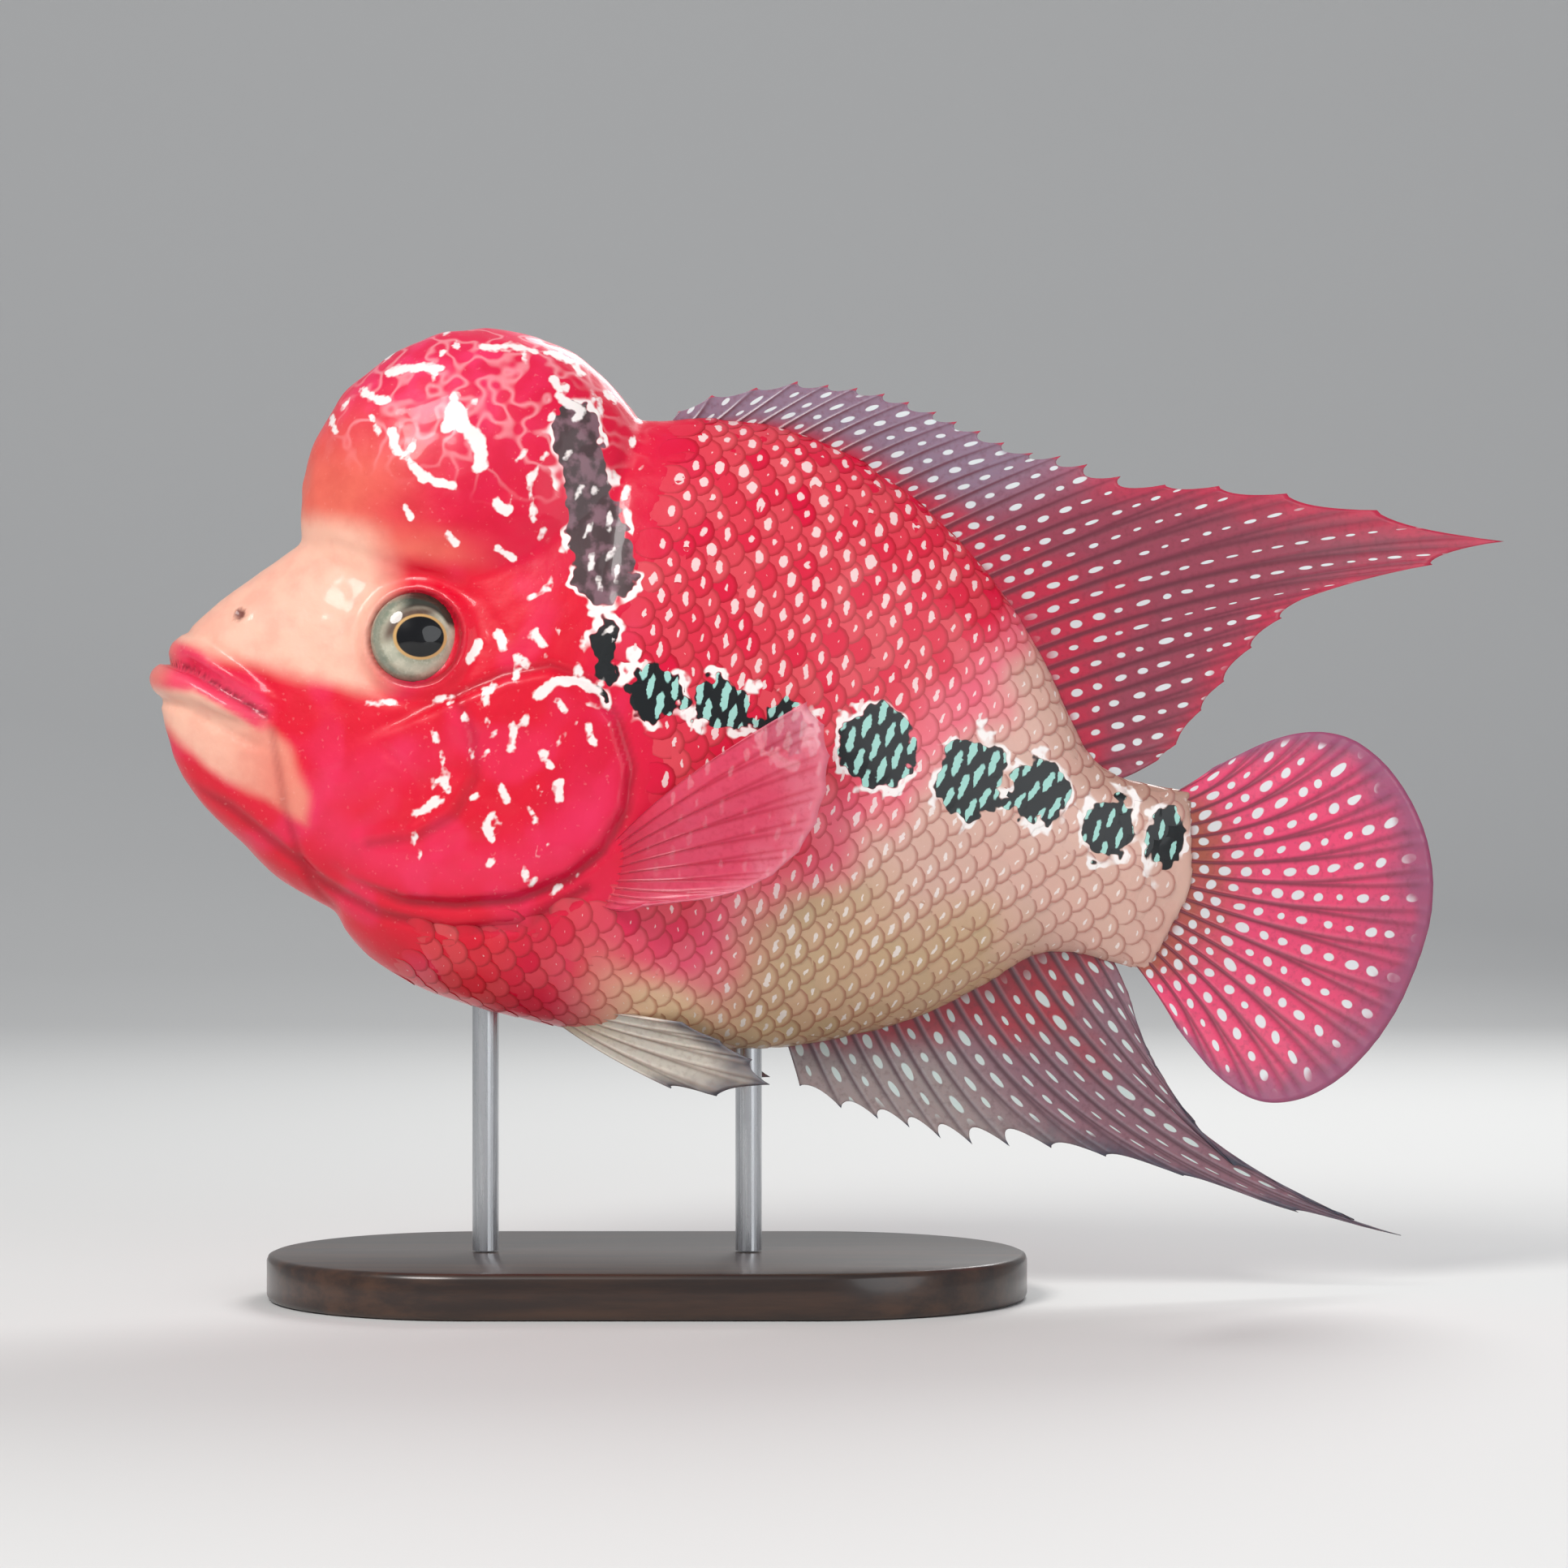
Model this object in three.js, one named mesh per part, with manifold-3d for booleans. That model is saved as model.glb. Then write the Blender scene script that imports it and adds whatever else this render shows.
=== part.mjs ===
// A life-size model of an adult flowerhorn cichlid on a plain display stand.
// Millimetres, +Z up. The fish faces -X and its left flank faces -Y.
// The origin is the middle of the underside of the stand's base.
// The fish is drawn in its own frame: x runs from the lips to the tail, y across, z up.
// It is then pitched nose up and raised onto the stand.
import * as THREE from "three";
import { mergeVertices } from "three/addons/utils/BufferGeometryUtils.js";
import Module from "manifold-3d";

const wasm = await Module();
wasm.setup();

// Driving sizes of the whole fish
const PITCH = THREE.MathUtils.degToRad(14);
const LIPS_X = -97; // where the lips' front lies, from the middle of the base
const LIPS_Z = 125; // how high the lips are above the floor
const BODY_LENGTH = 206; // lips to the root of the tail fin
const GAP = 0.3; // left between pieces that touch
const TAIL_BEND_FROM = 120; // the tail swings to the right side behind this length
const TAIL_BEND = 0.0006;

// The back and belly lines, as [length, height] in the fish's own frame
const BACK = [
  [1.2, 1.5], [2.6, 5.2], [5, 9], [10, 16.2], [15, 22], [21.5, 29.5], [35, 43], [54, 56.5], [73, 66.8],
  [86, 71.2], [98, 74.5], [110, 75.2], [122, 73.5], [134, 69.5], [146, 63.5], [158, 55], [169, 44.5],
  [178, 33.5], [184, 27], [191, 24.6], [198, 24.8], [206, 26],
];
const BELLY = [
  [1.2, -1.5], [2.6, -7], [6, -13.7], [9, -18.5], [16, -24.8], [25, -30], [34, -35.2], [42, -37.6],
  [46.5, -38.8], [49.5, -42.2], [58, -47], [70, -49.7], [82, -50.3], [95, -50], [109, -49.2], [123, -47.3],
  [137, -43.8], [150, -38.3], [162, -31.7], [174, -21.8], [184, -12.8], [192, -11.3], [206, -12.2],
];
// Half of the body's breadth, and the height at which it is broadest
const BREADTH = [
  [1.2, 1.6], [2.6, 4.2], [5, 7], [10, 10], [20, 13.6], [32, 17.4], [45, 20.6], [60, 23.4], [76, 25],
  [95, 25], [115, 23.2], [135, 19.8], [155, 15.2], [172, 10.6], [185, 7.6], [196, 5.2], [206, 2.6],
];
const BROADEST = [[1.2, 0], [20, -3], [45, -4], [75, -5], [110, -2], [140, 4], [172, 6.5], [206, 7]];

// The nuchal hump, an egg that sits over the forehead
const HUMP = { x: 55, z: 44.5, length: 35.6, breadth: 21, height: 36.4 };

const EYE = { x: 50.2, z: 17.2, radius: 9, bulge: 5.4, turn: 0.2, lift: 0.1, sink: 2.2 };
const ORBIT = { radius: 9.8, thick: 1.3 };
const NOSTRIL = { x: 14.6, z: 13.6, radius: 1.1 };

const BODY_STATIONS = 34;
const BODY_SIDES = 32;

// A smooth curve through [position, value] points that doesn't overshoot them
function curveThrough(points) {
  const n = points.length;
  const slopes = points.slice(1).map((p, i) => (p[1] - points[i][1]) / (p[0] - points[i][0]));
  const tangents = points.map((_, i) => {
    if (i === 0) return slopes[0];
    if (i === n - 1) return slopes[n - 2];
    const before = slopes[i - 1];
    const after = slopes[i];
    return before * after <= 0 ? 0 : (2 * before * after) / (before + after);
  });
  return (x) => {
    if (x <= points[0][0]) return points[0][1];
    if (x >= points[n - 1][0]) return points[n - 1][1];
    let i = 0;
    while (x > points[i + 1][0]) i += 1;
    const width = points[i + 1][0] - points[i][0];
    const t = (x - points[i][0]) / width;
    const rest = 1 - t;
    const bow = slopes[i] * width;
    return (
      points[i][1] * rest + points[i + 1][1] * t +
      t * rest * (rest * (tangents[i] * width - bow) - t * (tangents[i + 1] * width - bow))
    );
  };
}

const backAt = curveThrough(BACK);
const bellyAt = curveThrough(BELLY);
const breadthAt = curveThrough(BREADTH);
const broadestAt = curveThrough(BROADEST);
// How full the upper half of a section is: below 1 is boxy, above 1 comes to a keel under the dorsal fin
const fullnessAbove = curveThrough([[0, 0.85], [60, 0.95], [90, 1.1], [150, 1.2], [206, 0.9]]);
const fullnessBelow = curveThrough([[0, 0.8], [40, 0.75], [80, 0.72], [130, 0.85], [206, 0.9]]);

function tailBend(x) {
  return x > TAIL_BEND_FROM ? TAIL_BEND * (x - TAIL_BEND_FROM) ** 2 : 0;
}

// The body's half breadth at a length and a height
function flankAt(x, z) {
  const middle = broadestAt(x);
  const reach = z > middle ? backAt(x) - middle : middle - bellyAt(x);
  const up = Math.min(1, Math.abs(z - middle) / reach);
  const fullness = z > middle ? fullnessAbove(x) : fullnessBelow(x);
  return breadthAt(x) * Math.sqrt(Math.max(0, 1 - up * up)) ** fullness;
}

// Closed geometry from rings of points, with a point at each end
function tubeOfRings(rings, first, last) {
  const sides = rings[0].length;
  const positions = [...rings.flat(), first, last];
  const index = [];
  const at = (ring, side) => ring * sides + (side % sides);
  for (let r = 0; r + 1 < rings.length; r += 1)
    for (let s = 0; s < sides; s += 1)
      index.push(at(r, s), at(r, s + 1), at(r + 1, s + 1), at(r, s), at(r + 1, s + 1), at(r + 1, s));
  const end = rings.length - 1;
  for (let s = 0; s < sides; s += 1) {
    index.push(rings.length * sides, at(0, s + 1), at(0, s));
    index.push(rings.length * sides + 1, at(end, s), at(end, s + 1));
  }
  const geometry = new THREE.BufferGeometry();
  geometry.setAttribute("position", new THREE.Float32BufferAttribute(positions.flat(), 3));
  geometry.setIndex(index);
  return geometry;
}

// A solid for cutting and joining, turned the right way out
function solid(geometry) {
  const bare = geometry.clone();
  bare.deleteAttribute("normal");
  bare.deleteAttribute("uv");
  const merged = mergeVertices(bare, 1e-4);
  const triVerts = new Uint32Array(merged.index.array);
  const vertProperties = new Float32Array(merged.attributes.position.array);
  const made = new wasm.Manifold(new wasm.Mesh({ numProp: 3, vertProperties, triVerts }));
  if (made.volume() > 0) return made;
  for (let i = 0; i < triVerts.length; i += 3)
    [triVerts[i + 1], triVerts[i + 2]] = [triVerts[i + 2], triVerts[i + 1]];
  return new wasm.Manifold(new wasm.Mesh({ numProp: 3, vertProperties, triVerts }));
}

// The body without its hump, grown outwards by a margin
function bodyGeometry(margin) {
  const rings = [];
  const from = BACK[0][0];
  for (let i = 0; i <= BODY_STATIONS; i += 1) {
    // Stations lie closer together at the snout
    const x = from + (BODY_LENGTH - from) * (i / BODY_STATIONS) ** 1.25;
    const middle = broadestAt(x);
    const ring = [];
    for (let s = 0; s < BODY_SIDES; s += 1) {
      const angle = (s / BODY_SIDES) * 2 * Math.PI;
      const upper = Math.cos(angle) > 0;
      const fullness = upper ? fullnessAbove(x) : fullnessBelow(x);
      const across = Math.sign(Math.sin(angle)) * Math.abs(Math.sin(angle)) ** fullness;
      const reach = (upper ? backAt(x) - middle : middle - bellyAt(x)) + margin;
      ring.push([x, (breadthAt(x) + margin) * across + tailBend(x), middle + reach * Math.cos(angle)]);
    }
    rings.push(ring);
  }
  const tail = BODY_LENGTH + 0.6 + margin;
  return tubeOfRings(rings, [from - 0.5 - margin, 0, 0], [tail, tailBend(tail), 7]);
}

function ball(x, y, z, lengthR, breadthR, heightR, wide, high) {
  const geometry = new THREE.SphereGeometry(1, wide, high);
  geometry.scale(lengthR, breadthR, heightR);
  geometry.translate(x, y, z);
  return geometry;
}

// A wall that stands across the fish, from an outline drawn in its side view
function acrossFish(outline, fromY, toY) {
  const shape = new THREE.Shape(outline.map(([x, z]) => new THREE.Vector2(x, z)));
  const geometry = new THREE.ExtrudeGeometry(shape, { depth: toY - fromY, bevelEnabled: false });
  geometry.rotateX(Math.PI / 2);
  geometry.translate(0, toY, 0);
  return solid(geometry);
}

// A round bar whose thickness changes along a smooth path of [x, y, z, radius] points
function taperedBar(path, steps, sides) {
  const route = new THREE.CatmullRomCurve3(path.map(([x, y, z]) => new THREE.Vector3(x, y, z)));
  const radiusAt = curveThrough(path.map((p, i) => [i / (path.length - 1), p[3]]));
  const frames = route.computeFrenetFrames(steps, false);
  const rings = [];
  for (let i = 0; i <= steps; i += 1) {
    const t = i / steps;
    const centre = route.getPoint(t);
    const ring = [];
    for (let s = 0; s < sides; s += 1) {
      const angle = (s / sides) * 2 * Math.PI;
      const p = centre
        .clone()
        .addScaledVector(frames.normals[i], Math.cos(angle) * radiusAt(t))
        .addScaledVector(frames.binormals[i], Math.sin(angle) * radiusAt(t));
      ring.push([p.x, p.y, p.z]);
    }
    rings.push(ring);
  }
  const cap = (t, i, way) => {
    const p = route.getPoint(t).addScaledVector(frames.tangents[i], way * radiusAt(t) * 0.6);
    return [p.x, p.y, p.z];
  };
  return solid(tubeOfRings(rings, cap(0, 0, -1), cap(1, steps, 1)));
}

function largest(made) {
  return made.decompose().sort((a, b) => b.volume() - a.volume())[0];
}

const body = solid(bodyGeometry(0));
const bodyGrown = solid(bodyGeometry(GAP));

// Outlines in the side view that part the body. Each is drawn past the body where it has no cut.
const FAR = 120;
// The head ends at the rear edge of the gill cover and, above it, at the nape
const GILL_EDGE = [
  [80, FAR], [80.5, 60], [81, 40], [82, 28], [87, 20], [93, 12], [97.5, 3], [98.5, -5], [96, -14], [91, -21],
  [82, -27.5], [70, -31.5], [58, -34], [50, -37], [46.8, -42], [46.5, -FAR],
];
// The lower jaw lies below the mouth line and ahead of the cheek
const JAW_EDGE = [[-20, 1.6], [8, 1.2], [24.5, -4], [29, -11], [34, -22], [38.5, -32], [40.5, -FAR], [-20, -FAR]];
const PEDUNCLE_FROM = 186;

function shifted(outline, dx, dz) {
  return outline.map(([x, z]) => [x + dx, z + dz]);
}

const aheadOfGills = (slack) =>
  acrossFish([...shifted(GILL_EDGE, -slack, slack), [-FAR, -FAR], [-FAR, FAR]], -60, 60);
const jawWall = (slack) => acrossFish(shifted(JAW_EDGE, -slack, -slack), -60, 60);
const peduncleWall = (slack) =>
  acrossFish([[PEDUNCLE_FROM + slack, FAR], [300, FAR], [300, -FAR], [PEDUNCLE_FROM + slack, -FAR]], -60, 60);

// Eyes and the raised rim round each
function eyeSolid(side, grow) {
  const geometry = ball(
    0, 0, 0, EYE.radius + grow, EYE.bulge + grow, EYE.radius + grow, 18, 10,
  );
  geometry.rotateZ(side * -EYE.turn);
  geometry.rotateX(side * EYE.lift);
  geometry.translate(EYE.x, side * (flankAt(EYE.x, EYE.z) - EYE.sink), EYE.z);
  return solid(geometry);
}

function orbitSolid(side) {
  const geometry = new THREE.TorusGeometry(ORBIT.radius, ORBIT.thick, 6, 20);
  geometry.rotateX(Math.PI / 2);
  geometry.rotateZ(side * -EYE.turn);
  geometry.rotateX(side * EYE.lift);
  geometry.translate(EYE.x, side * (flankAt(EYE.x, EYE.z) - 0.5), EYE.z);
  return solid(geometry);
}

// Lips run from one corner of the mouth round the snout to the other, as [x, y, z, radius] on one side
const LOWER_LIP = [
  [25.5, -14.6, -5.9, 1.3], [18, -12.6, -4, 2.4], [11, -9.5, -2.5, 3.2], [6, -5.9, -2.2, 3.9],
  [4, 0, -2.2, 4.3],
];
const UPPER_LIP = [
  [25, -14.3, -2.4, 1.1], [18, -12.4, 0.5, 1.9], [11.5, -9.2, 3.2, 2.4], [7.2, -5.4, 4.9, 2.6],
  [5.6, 0, 5.5, 2.7],
];

function lip(half, grow) {
  const near = half.map(([x, y, z, r]) => [x, y, z, r + grow]);
  const far = near.slice(0, -1).reverse().map(([x, y, z, r]) => [x, -y, z, r]);
  return taperedBar([...near, ...far], 20, 8);
}

const lowerLip = lip(LOWER_LIP, 0);
const upperLip = lip(UPPER_LIP, 0).subtract(lip(LOWER_LIP, GAP));
const lipsGrown = lip(LOWER_LIP, GAP).add(lip(UPPER_LIP, GAP));

const eyes = [-1, 1].map((side) => eyeSolid(side, 0));
const sockets = eyeSolid(-1, GAP).add(eyeSolid(1, GAP));
const orbits = orbitSolid(-1).add(orbitSolid(1));
const nostrils = [-1, 1]
  .map((side) =>
    solid(ball(NOSTRIL.x, side * flankAt(NOSTRIL.x, NOSTRIL.z), NOSTRIL.z, NOSTRIL.radius,
      NOSTRIL.radius, NOSTRIL.radius, 10, 8)),
  )
  .reduce((a, b) => a.add(b));

const head = largest(
  body
    .intersect(aheadOfGills(GAP))
    .subtract(jawWall(0))
    .add(orbits)
    .subtract(sockets)
    .subtract(nostrils)
    .subtract(lipsGrown),
);
const lowerJaw = largest(body.intersect(jawWall(GAP)).subtract(lipsGrown));
const trunk = largest(body.subtract(aheadOfGills(0)).subtract(peduncleWall(0)));
const peduncle = largest(body.intersect(peduncleWall(GAP)));

// The hump rests on the forehead
const humpBall = (grow) =>
  solid(ball(HUMP.x, 0, HUMP.z, HUMP.length + grow, HUMP.breadth + grow, HUMP.height + grow, 28, 18));
const hump = largest(humpBall(0).subtract(bodyGrown));
const humpGrown = humpBall(GAP);

// Gill covers stand out from the cheek as thin curved plates
const COVER_THICK = 1.4;
const COVER = [
  [69, 14], [77, 17.5], [85, 16.5], [91.5, 11], [96.3, 3], [97.3, -5], [94.8, -13.5], [90, -20], [81.5, -26.3],
  [70, -30.2], [60, -32], [63, -26], [67, -16], [68.5, -4], [68, 6],
];
const bodyCover = solid(bodyGeometry(GAP + COVER_THICK));
const covers = [-1, 1].map((side) =>
  largest(
    bodyCover
      .intersect(acrossFish(COVER, side < 0 ? -60 : 4, side < 0 ? -4 : 60))
      .subtract(bodyGrown),
  ),
);

// A fin is a membrane with a ridge along each ray.
// roots and tips are lists of [x, y, z], one for each ray. lean says how far along its length a ray keeps
// the direction that it has at its root. notch is how far the membrane falls short between two ray tips.
function finSolid({ roots, tips, aims, lean, notch, ridge, web, rows, sway }) {
  const rays = roots.length;
  const columns = [];
  for (let ray = 0; ray < rays; ray += 1) {
    columns.push([ray, 1]);
    if (ray + 1 < rays) columns.push([ray + 0.3, 0], [ray + 0.7, 0]);
  }
  const mix = (list, at) => {
    const low = Math.min(Math.floor(at), rays - 1);
    const high = Math.min(low + 1, rays - 1);
    return list[low].map((value, axis) => value + (list[high][axis] - value) * (at - low));
  };
  const grid = columns.map(([at, isRay]) => {
    const root = mix(roots, at);
    const tip = mix(tips, at);
    const aim = mix(aims, at);
    const short = isRay ? 1 : 1 - notch(at);
    const length = Math.hypot(...tip.map((value, axis) => value - root[axis]));
    const size = Math.hypot(...aim);
    const bend = root.map((value, axis) => value + (aim[axis] / size) * length * lean);
    const line = [];
    for (let row = 0; row <= rows; row += 1) {
      const t = (row / rows) * short;
      const p = root.map(
        (value, axis) => (1 - t) ** 2 * value + 2 * t * (1 - t) * bend[axis] + t * t * tip[axis],
      );
      const half = (isRay ? ridge : web) * (1 - 0.55 * t) * (row === rows ? 0.55 : 1);
      line.push({ p: [p[0], p[1] + sway(at, t), p[2]], half });
    }
    return line;
  });
  // Both faces share one split into triangles, so that they can't cross
  const across = rows + 1;
  const positions = [];
  for (const face of [-1, 1])
    for (const line of grid)
      for (const { p, half } of line) positions.push([p[0], p[1] + face * half + tailBend(p[0]), p[2]]);
  const behind = grid.length * across;
  const index = [];
  const quad = (a, b, c, d) => index.push(a, b, c, a, c, d);
  for (let c = 0; c + 1 < grid.length; c += 1)
    for (let r = 0; r < rows; r += 1) {
      const a = c * across + r;
      quad(a, a + across, a + across + 1, a + 1);
      index.push(behind + a, behind + a + across + 1, behind + a + across);
      index.push(behind + a, behind + a + 1, behind + a + across + 1);
    }
  const edge = [];
  for (let c = 0; c < grid.length; c += 1) edge.push(c * across);
  for (let r = 1; r <= rows; r += 1) edge.push((grid.length - 1) * across + r);
  for (let c = grid.length - 2; c >= 0; c -= 1) edge.push(c * across + rows);
  for (let r = rows - 1; r > 0; r -= 1) edge.push(r);
  edge.forEach((a, i) => {
    const b = edge[(i + 1) % edge.length];
    quad(b, a, a + behind, b + behind);
  });
  const geometry = new THREE.BufferGeometry();
  geometry.setAttribute("position", new THREE.Float32BufferAttribute(positions.flat(), 3));
  geometry.setIndex(index);
  return solid(geometry);
}

// Points spread evenly along a line through [x, z] points of the side view
function along(points, count) {
  const line = new THREE.CatmullRomCurve3(points.map(([x, z]) => new THREE.Vector3(x, 0, z)));
  return line.getSpacedPoints(count - 1).map((p) => [p.x, 0, p.z]);
}

const flat = (points) => points.map(([x, z]) => [x, 0, z]);
const direction = (fromDegrees, toDegrees, count) =>
  Array.from({ length: count }, (_, i) => {
    const angle = THREE.MathUtils.degToRad(
      fromDegrees + (toDegrees - fromDegrees) * (i / (count - 1)),
    );
    return [Math.cos(angle), 0, Math.sin(angle)];
  });

// The dorsal fin: sixteen spines, then soft rays that draw out into a streamer
const DORSAL_TIPS = [
  [88, 73.5], [93.6, 78.2], [101.8, 81.8], [109.4, 85], [115.5, 85.8], [121.2, 86.6], [126.7, 86.8],
  [131.8, 86.4], [137.5, 85.8], [141.9, 84.9], [146.9, 84.3], [152, 83.2], [158, 82.6], [163.5, 83.4],
  [169, 83.1], [176, 82.4],
  [185, 83], [195.5, 85.4], [209, 87.3], [227.4, 88.6], [254, 89], [240.9, 80.8], [219, 69], [214, 63],
  [209.6, 55.9], [205.9, 48], [202.9, 41.4], [199.7, 33.6], [196.6, 29.4],
];
const DORSAL_BASE = [[85, 68], [98, 71.5], [110, 72.5], [122, 70.5], [134, 66.5], [146, 60.5], [158, 51.5],
  [169, 41], [178, 30.5], [187, 22]];
const dorsalRays = DORSAL_TIPS.length;
const dorsal = largest(
  finSolid({
    roots: along(DORSAL_BASE, dorsalRays),
    tips: flat(DORSAL_TIPS),
    aims: direction(50, 30, dorsalRays),
    lean: 0.5,
    notch: (ray) => (ray < 16 ? 0.1 : 0.05),
    ridge: 0.62,
    web: 0.28,
    rows: 5,
    sway: (ray, t) => 1.6 * Math.max(0, ray - 12) / 16 * t * t * Math.sin(ray * 0.5),
  }).subtract(bodyGrown).subtract(humpGrown),
);

// The anal fin: seven spines, then soft rays with a streamer of their own
const ANAL_TIPS = [
  [143.5, -50.1], [152.5, -52.4], [160.1, -52.7], [166.6, -52.9], [173.1, -53.5], [179.5, -53.2],
  [186.8, -51.8],
  [195, -50.2], [206, -49.3], [222, -49.4], [246.5, -51.1], [268, -50.8], [257.8, -49.9], [231.5, -45],
  [221.5, -38.6], [211, -29.6], [204.2, -20.6],
];
const ANAL_BASE = [[138, -41], [150, -35], [162, -28.5], [174, -18.6], [184, -9.8], [190, -8.2], [195.5, -8.6]];
const analRays = ANAL_TIPS.length;
const anal = largest(
  finSolid({
    roots: along(ANAL_BASE, analRays),
    tips: flat(ANAL_TIPS),
    aims: direction(-56, -44, analRays),
    lean: 0.48,
    notch: (ray) => (ray < 7 ? 0.14 : 0.05),
    ridge: 0.62,
    web: 0.28,
    rows: 5,
    sway: (ray, t) => -1.4 * Math.max(0, ray - 5) / 12 * t * t * Math.sin(ray * 0.6),
  }).subtract(bodyGrown),
);

// The tail fin, a rounded fan
const TAIL_TIPS = [
  [208, 30.8], [217.6, 38.7], [225.9, 42.7], [233.7, 43.2], [241.1, 40.2], [247.4, 35], [252.6, 28.4],
  [256.2, 20.7], [258, 12.3], [257.9, 3.6], [256.4, -6.1], [253.3, -14.8], [248.2, -23], [241.1, -29],
  [232.8, -31.2], [223.5, -28.2], [213.5, -21],
];
const TAIL_BASE = [[199.5, 22.6], [203.5, 18.5], [205, 7], [204, -5.5], [201.5, -10.2]];
const tailRays = TAIL_TIPS.length;
const tailFin = largest(
  finSolid({
    roots: along(TAIL_BASE, tailRays),
    tips: flat(TAIL_TIPS),
    aims: direction(34, -36, tailRays),
    lean: 0.45,
    notch: () => 0.01,
    ridge: 0.66,
    web: 0.3,
    rows: 5,
    sway: (ray, t) => 1.8 * t * t * Math.sin(ray * 0.75),
  }).subtract(bodyGrown),
);

// Pectoral fins fan out from just behind the gill covers and stand clear of the flanks
const PECTORAL_TIPS = [
  [126.5, 23.5], [130.8, 20], [133.3, 14.5], [134.4, 8], [134, 1.5], [132, -4.8], [128.2, -10.3], [123, -14.6],
  [117, -17.6], [111, -19.8], [105.5, -21.8],
];
const PECTORAL_BASE = [[97.2, -11.5], [98.2, -15.5], [98.2, -20], [97, -24]];
const PECTORAL_FLARE = 7.5; // how far the fin's outer margin stands off the flank
const pectoralRays = PECTORAL_TIPS.length;
function pectoral(side) {
  const roots = along(PECTORAL_BASE, pectoralRays).map(([x, , z]) => [
    x, side * (flankAt(x, z) - 0.8), z,
  ]);
  const tips = PECTORAL_TIPS.map(([x, z]) => [x, side * (flankAt(x, z) + PECTORAL_FLARE), z]);
  const aims = direction(62, -18, pectoralRays).map(([x, , z]) => [x, side * 0.42, z]);
  return largest(
    finSolid({
      roots, tips, aims, lean: 0.42, notch: () => 0.03, ridge: 0.5, web: 0.27, rows: 4, sway: () => 0,
    })
      .subtract(bodyGrown)
      .subtract(coversGrown),
  );
}
const coversGrown = solid(bodyGeometry(2 * GAP + COVER_THICK)).intersect(
  acrossFish(COVER.map(([x, z]) => [x + 0.3 * Math.sign(x - 80), z + 0.3 * Math.sign(z + 6)]), -60, 60),
);

// Pelvic fins lie back along the belly, one on each side of the keel
const PELVIC_TIPS = [
  [119, -56, 8.5], [128, -55.3, 10], [137.5, -50.5, 11.6], [133, -46.5, 13.4], [126, -44.3, 15], [118, -42.6, 16.4],
];
const PELVIC_BASE = [
  [91.5, -47.8, 4.8], [93, -47.6, 6], [94.5, -47.2, 7.4], [96, -46.6, 8.8], [97.5, -45.8, 10.2], [99, -44.8, 11.6],
];
function pelvic(side) {
  const place = ([x, z, y]) => [x, side * y, z];
  return largest(
    finSolid({
      roots: PELVIC_BASE.map(place),
      tips: PELVIC_TIPS.map(place),
      aims: direction(-24, 6, PELVIC_TIPS.length).map(([x, , z]) => [x, side * 0.25, z]),
      lean: 0.45,
      notch: (ray) => (ray < 1 ? 0.08 : 0.04),
      ridge: 0.55,
      web: 0.28,
      rows: 4,
      sway: () => 0,
    }).subtract(bodyGrown),
  );
}

// The stand: an oval base and two rods up to the belly
const BASE = { length: 150, breadth: 84, thick: 9, bevel: 1.2 };
const ROD_RADIUS = 2.6;
const ROD_X = [-32, 20];

function baseGeometry() {
  const half = BASE.breadth / 2 - BASE.bevel;
  const run = BASE.length / 2 - BASE.breadth / 2;
  const shape = new THREE.Shape();
  shape.absarc(run, 0, half, -Math.PI / 2, Math.PI / 2, false);
  shape.absarc(-run, 0, half, Math.PI / 2, (3 * Math.PI) / 2, false);
  const geometry = new THREE.ExtrudeGeometry(shape, {
    depth: BASE.thick - 2 * BASE.bevel,
    bevelSize: BASE.bevel,
    bevelThickness: BASE.bevel,
    bevelSegments: 2,
    curveSegments: 28,
  });
  geometry.translate(0, 0, BASE.bevel);
  return geometry;
}

// The fish's own frame in the part's frame
const placed = new THREE.Matrix4()
  .makeTranslation(LIPS_X, 0, LIPS_Z)
  .multiply(new THREE.Matrix4().makeRotationY(PITCH));
const bodyInPlace = solid(bodyGeometry(GAP).applyMatrix4(placed));

function rodSolid(x) {
  const low = BASE.thick + GAP;
  const high = LIPS_Z - 30;
  const geometry = new THREE.CylinderGeometry(ROD_RADIUS, ROD_RADIUS, high - low, 28);
  geometry.rotateX(Math.PI / 2);
  geometry.translate(x, 0, (high + low) / 2);
  const pieces = solid(geometry).subtract(bodyInPlace).decompose();
  return pieces.sort((a, b) => a.boundingBox().min[2] - b.boundingBox().min[2])[0];
}

// Materials
const finish = (color, roughness, metalness = 0) =>
  new THREE.MeshStandardMaterial({ color, roughness, metalness });
const redSkin = finish(0xe8304a, 0.35);
const paleSkin = finish(0xf3b5a2, 0.35);
const tanSkin = finish(0xc9a48c, 0.35);
const lipSkin = finish(0xf0718c, 0.3);
const finSkin = finish(0xa8404c, 0.4);
const eyeGlass = finish(0xc9c9b4, 0.1);
const standBlack = finish(0x1a1b1d, 0.45);
const standSteel = finish(0xb9bcc0, 0.3, 1);

const part = new THREE.Group();
const fish = new THREE.Group();
fish.rotation.y = PITCH;
fish.position.set(LIPS_X, 0, LIPS_Z);
part.add(fish);

function addNode(group, name, made, material) {
  const mesh = made.getMesh();
  const count = mesh.numProp;
  const positions = new Float32Array(mesh.numVert * 3);
  for (let i = 0; i < mesh.numVert; i += 1)
    positions.set(mesh.vertProperties.subarray(i * count, i * count + 3), i * 3);
  const geometry = new THREE.BufferGeometry();
  geometry.setAttribute("position", new THREE.BufferAttribute(positions, 3));
  geometry.setIndex(new THREE.BufferAttribute(mesh.triVerts, 1));
  const node = new THREE.Mesh(geometry, material);
  node.name = name;
  group.add(node);
}

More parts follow.
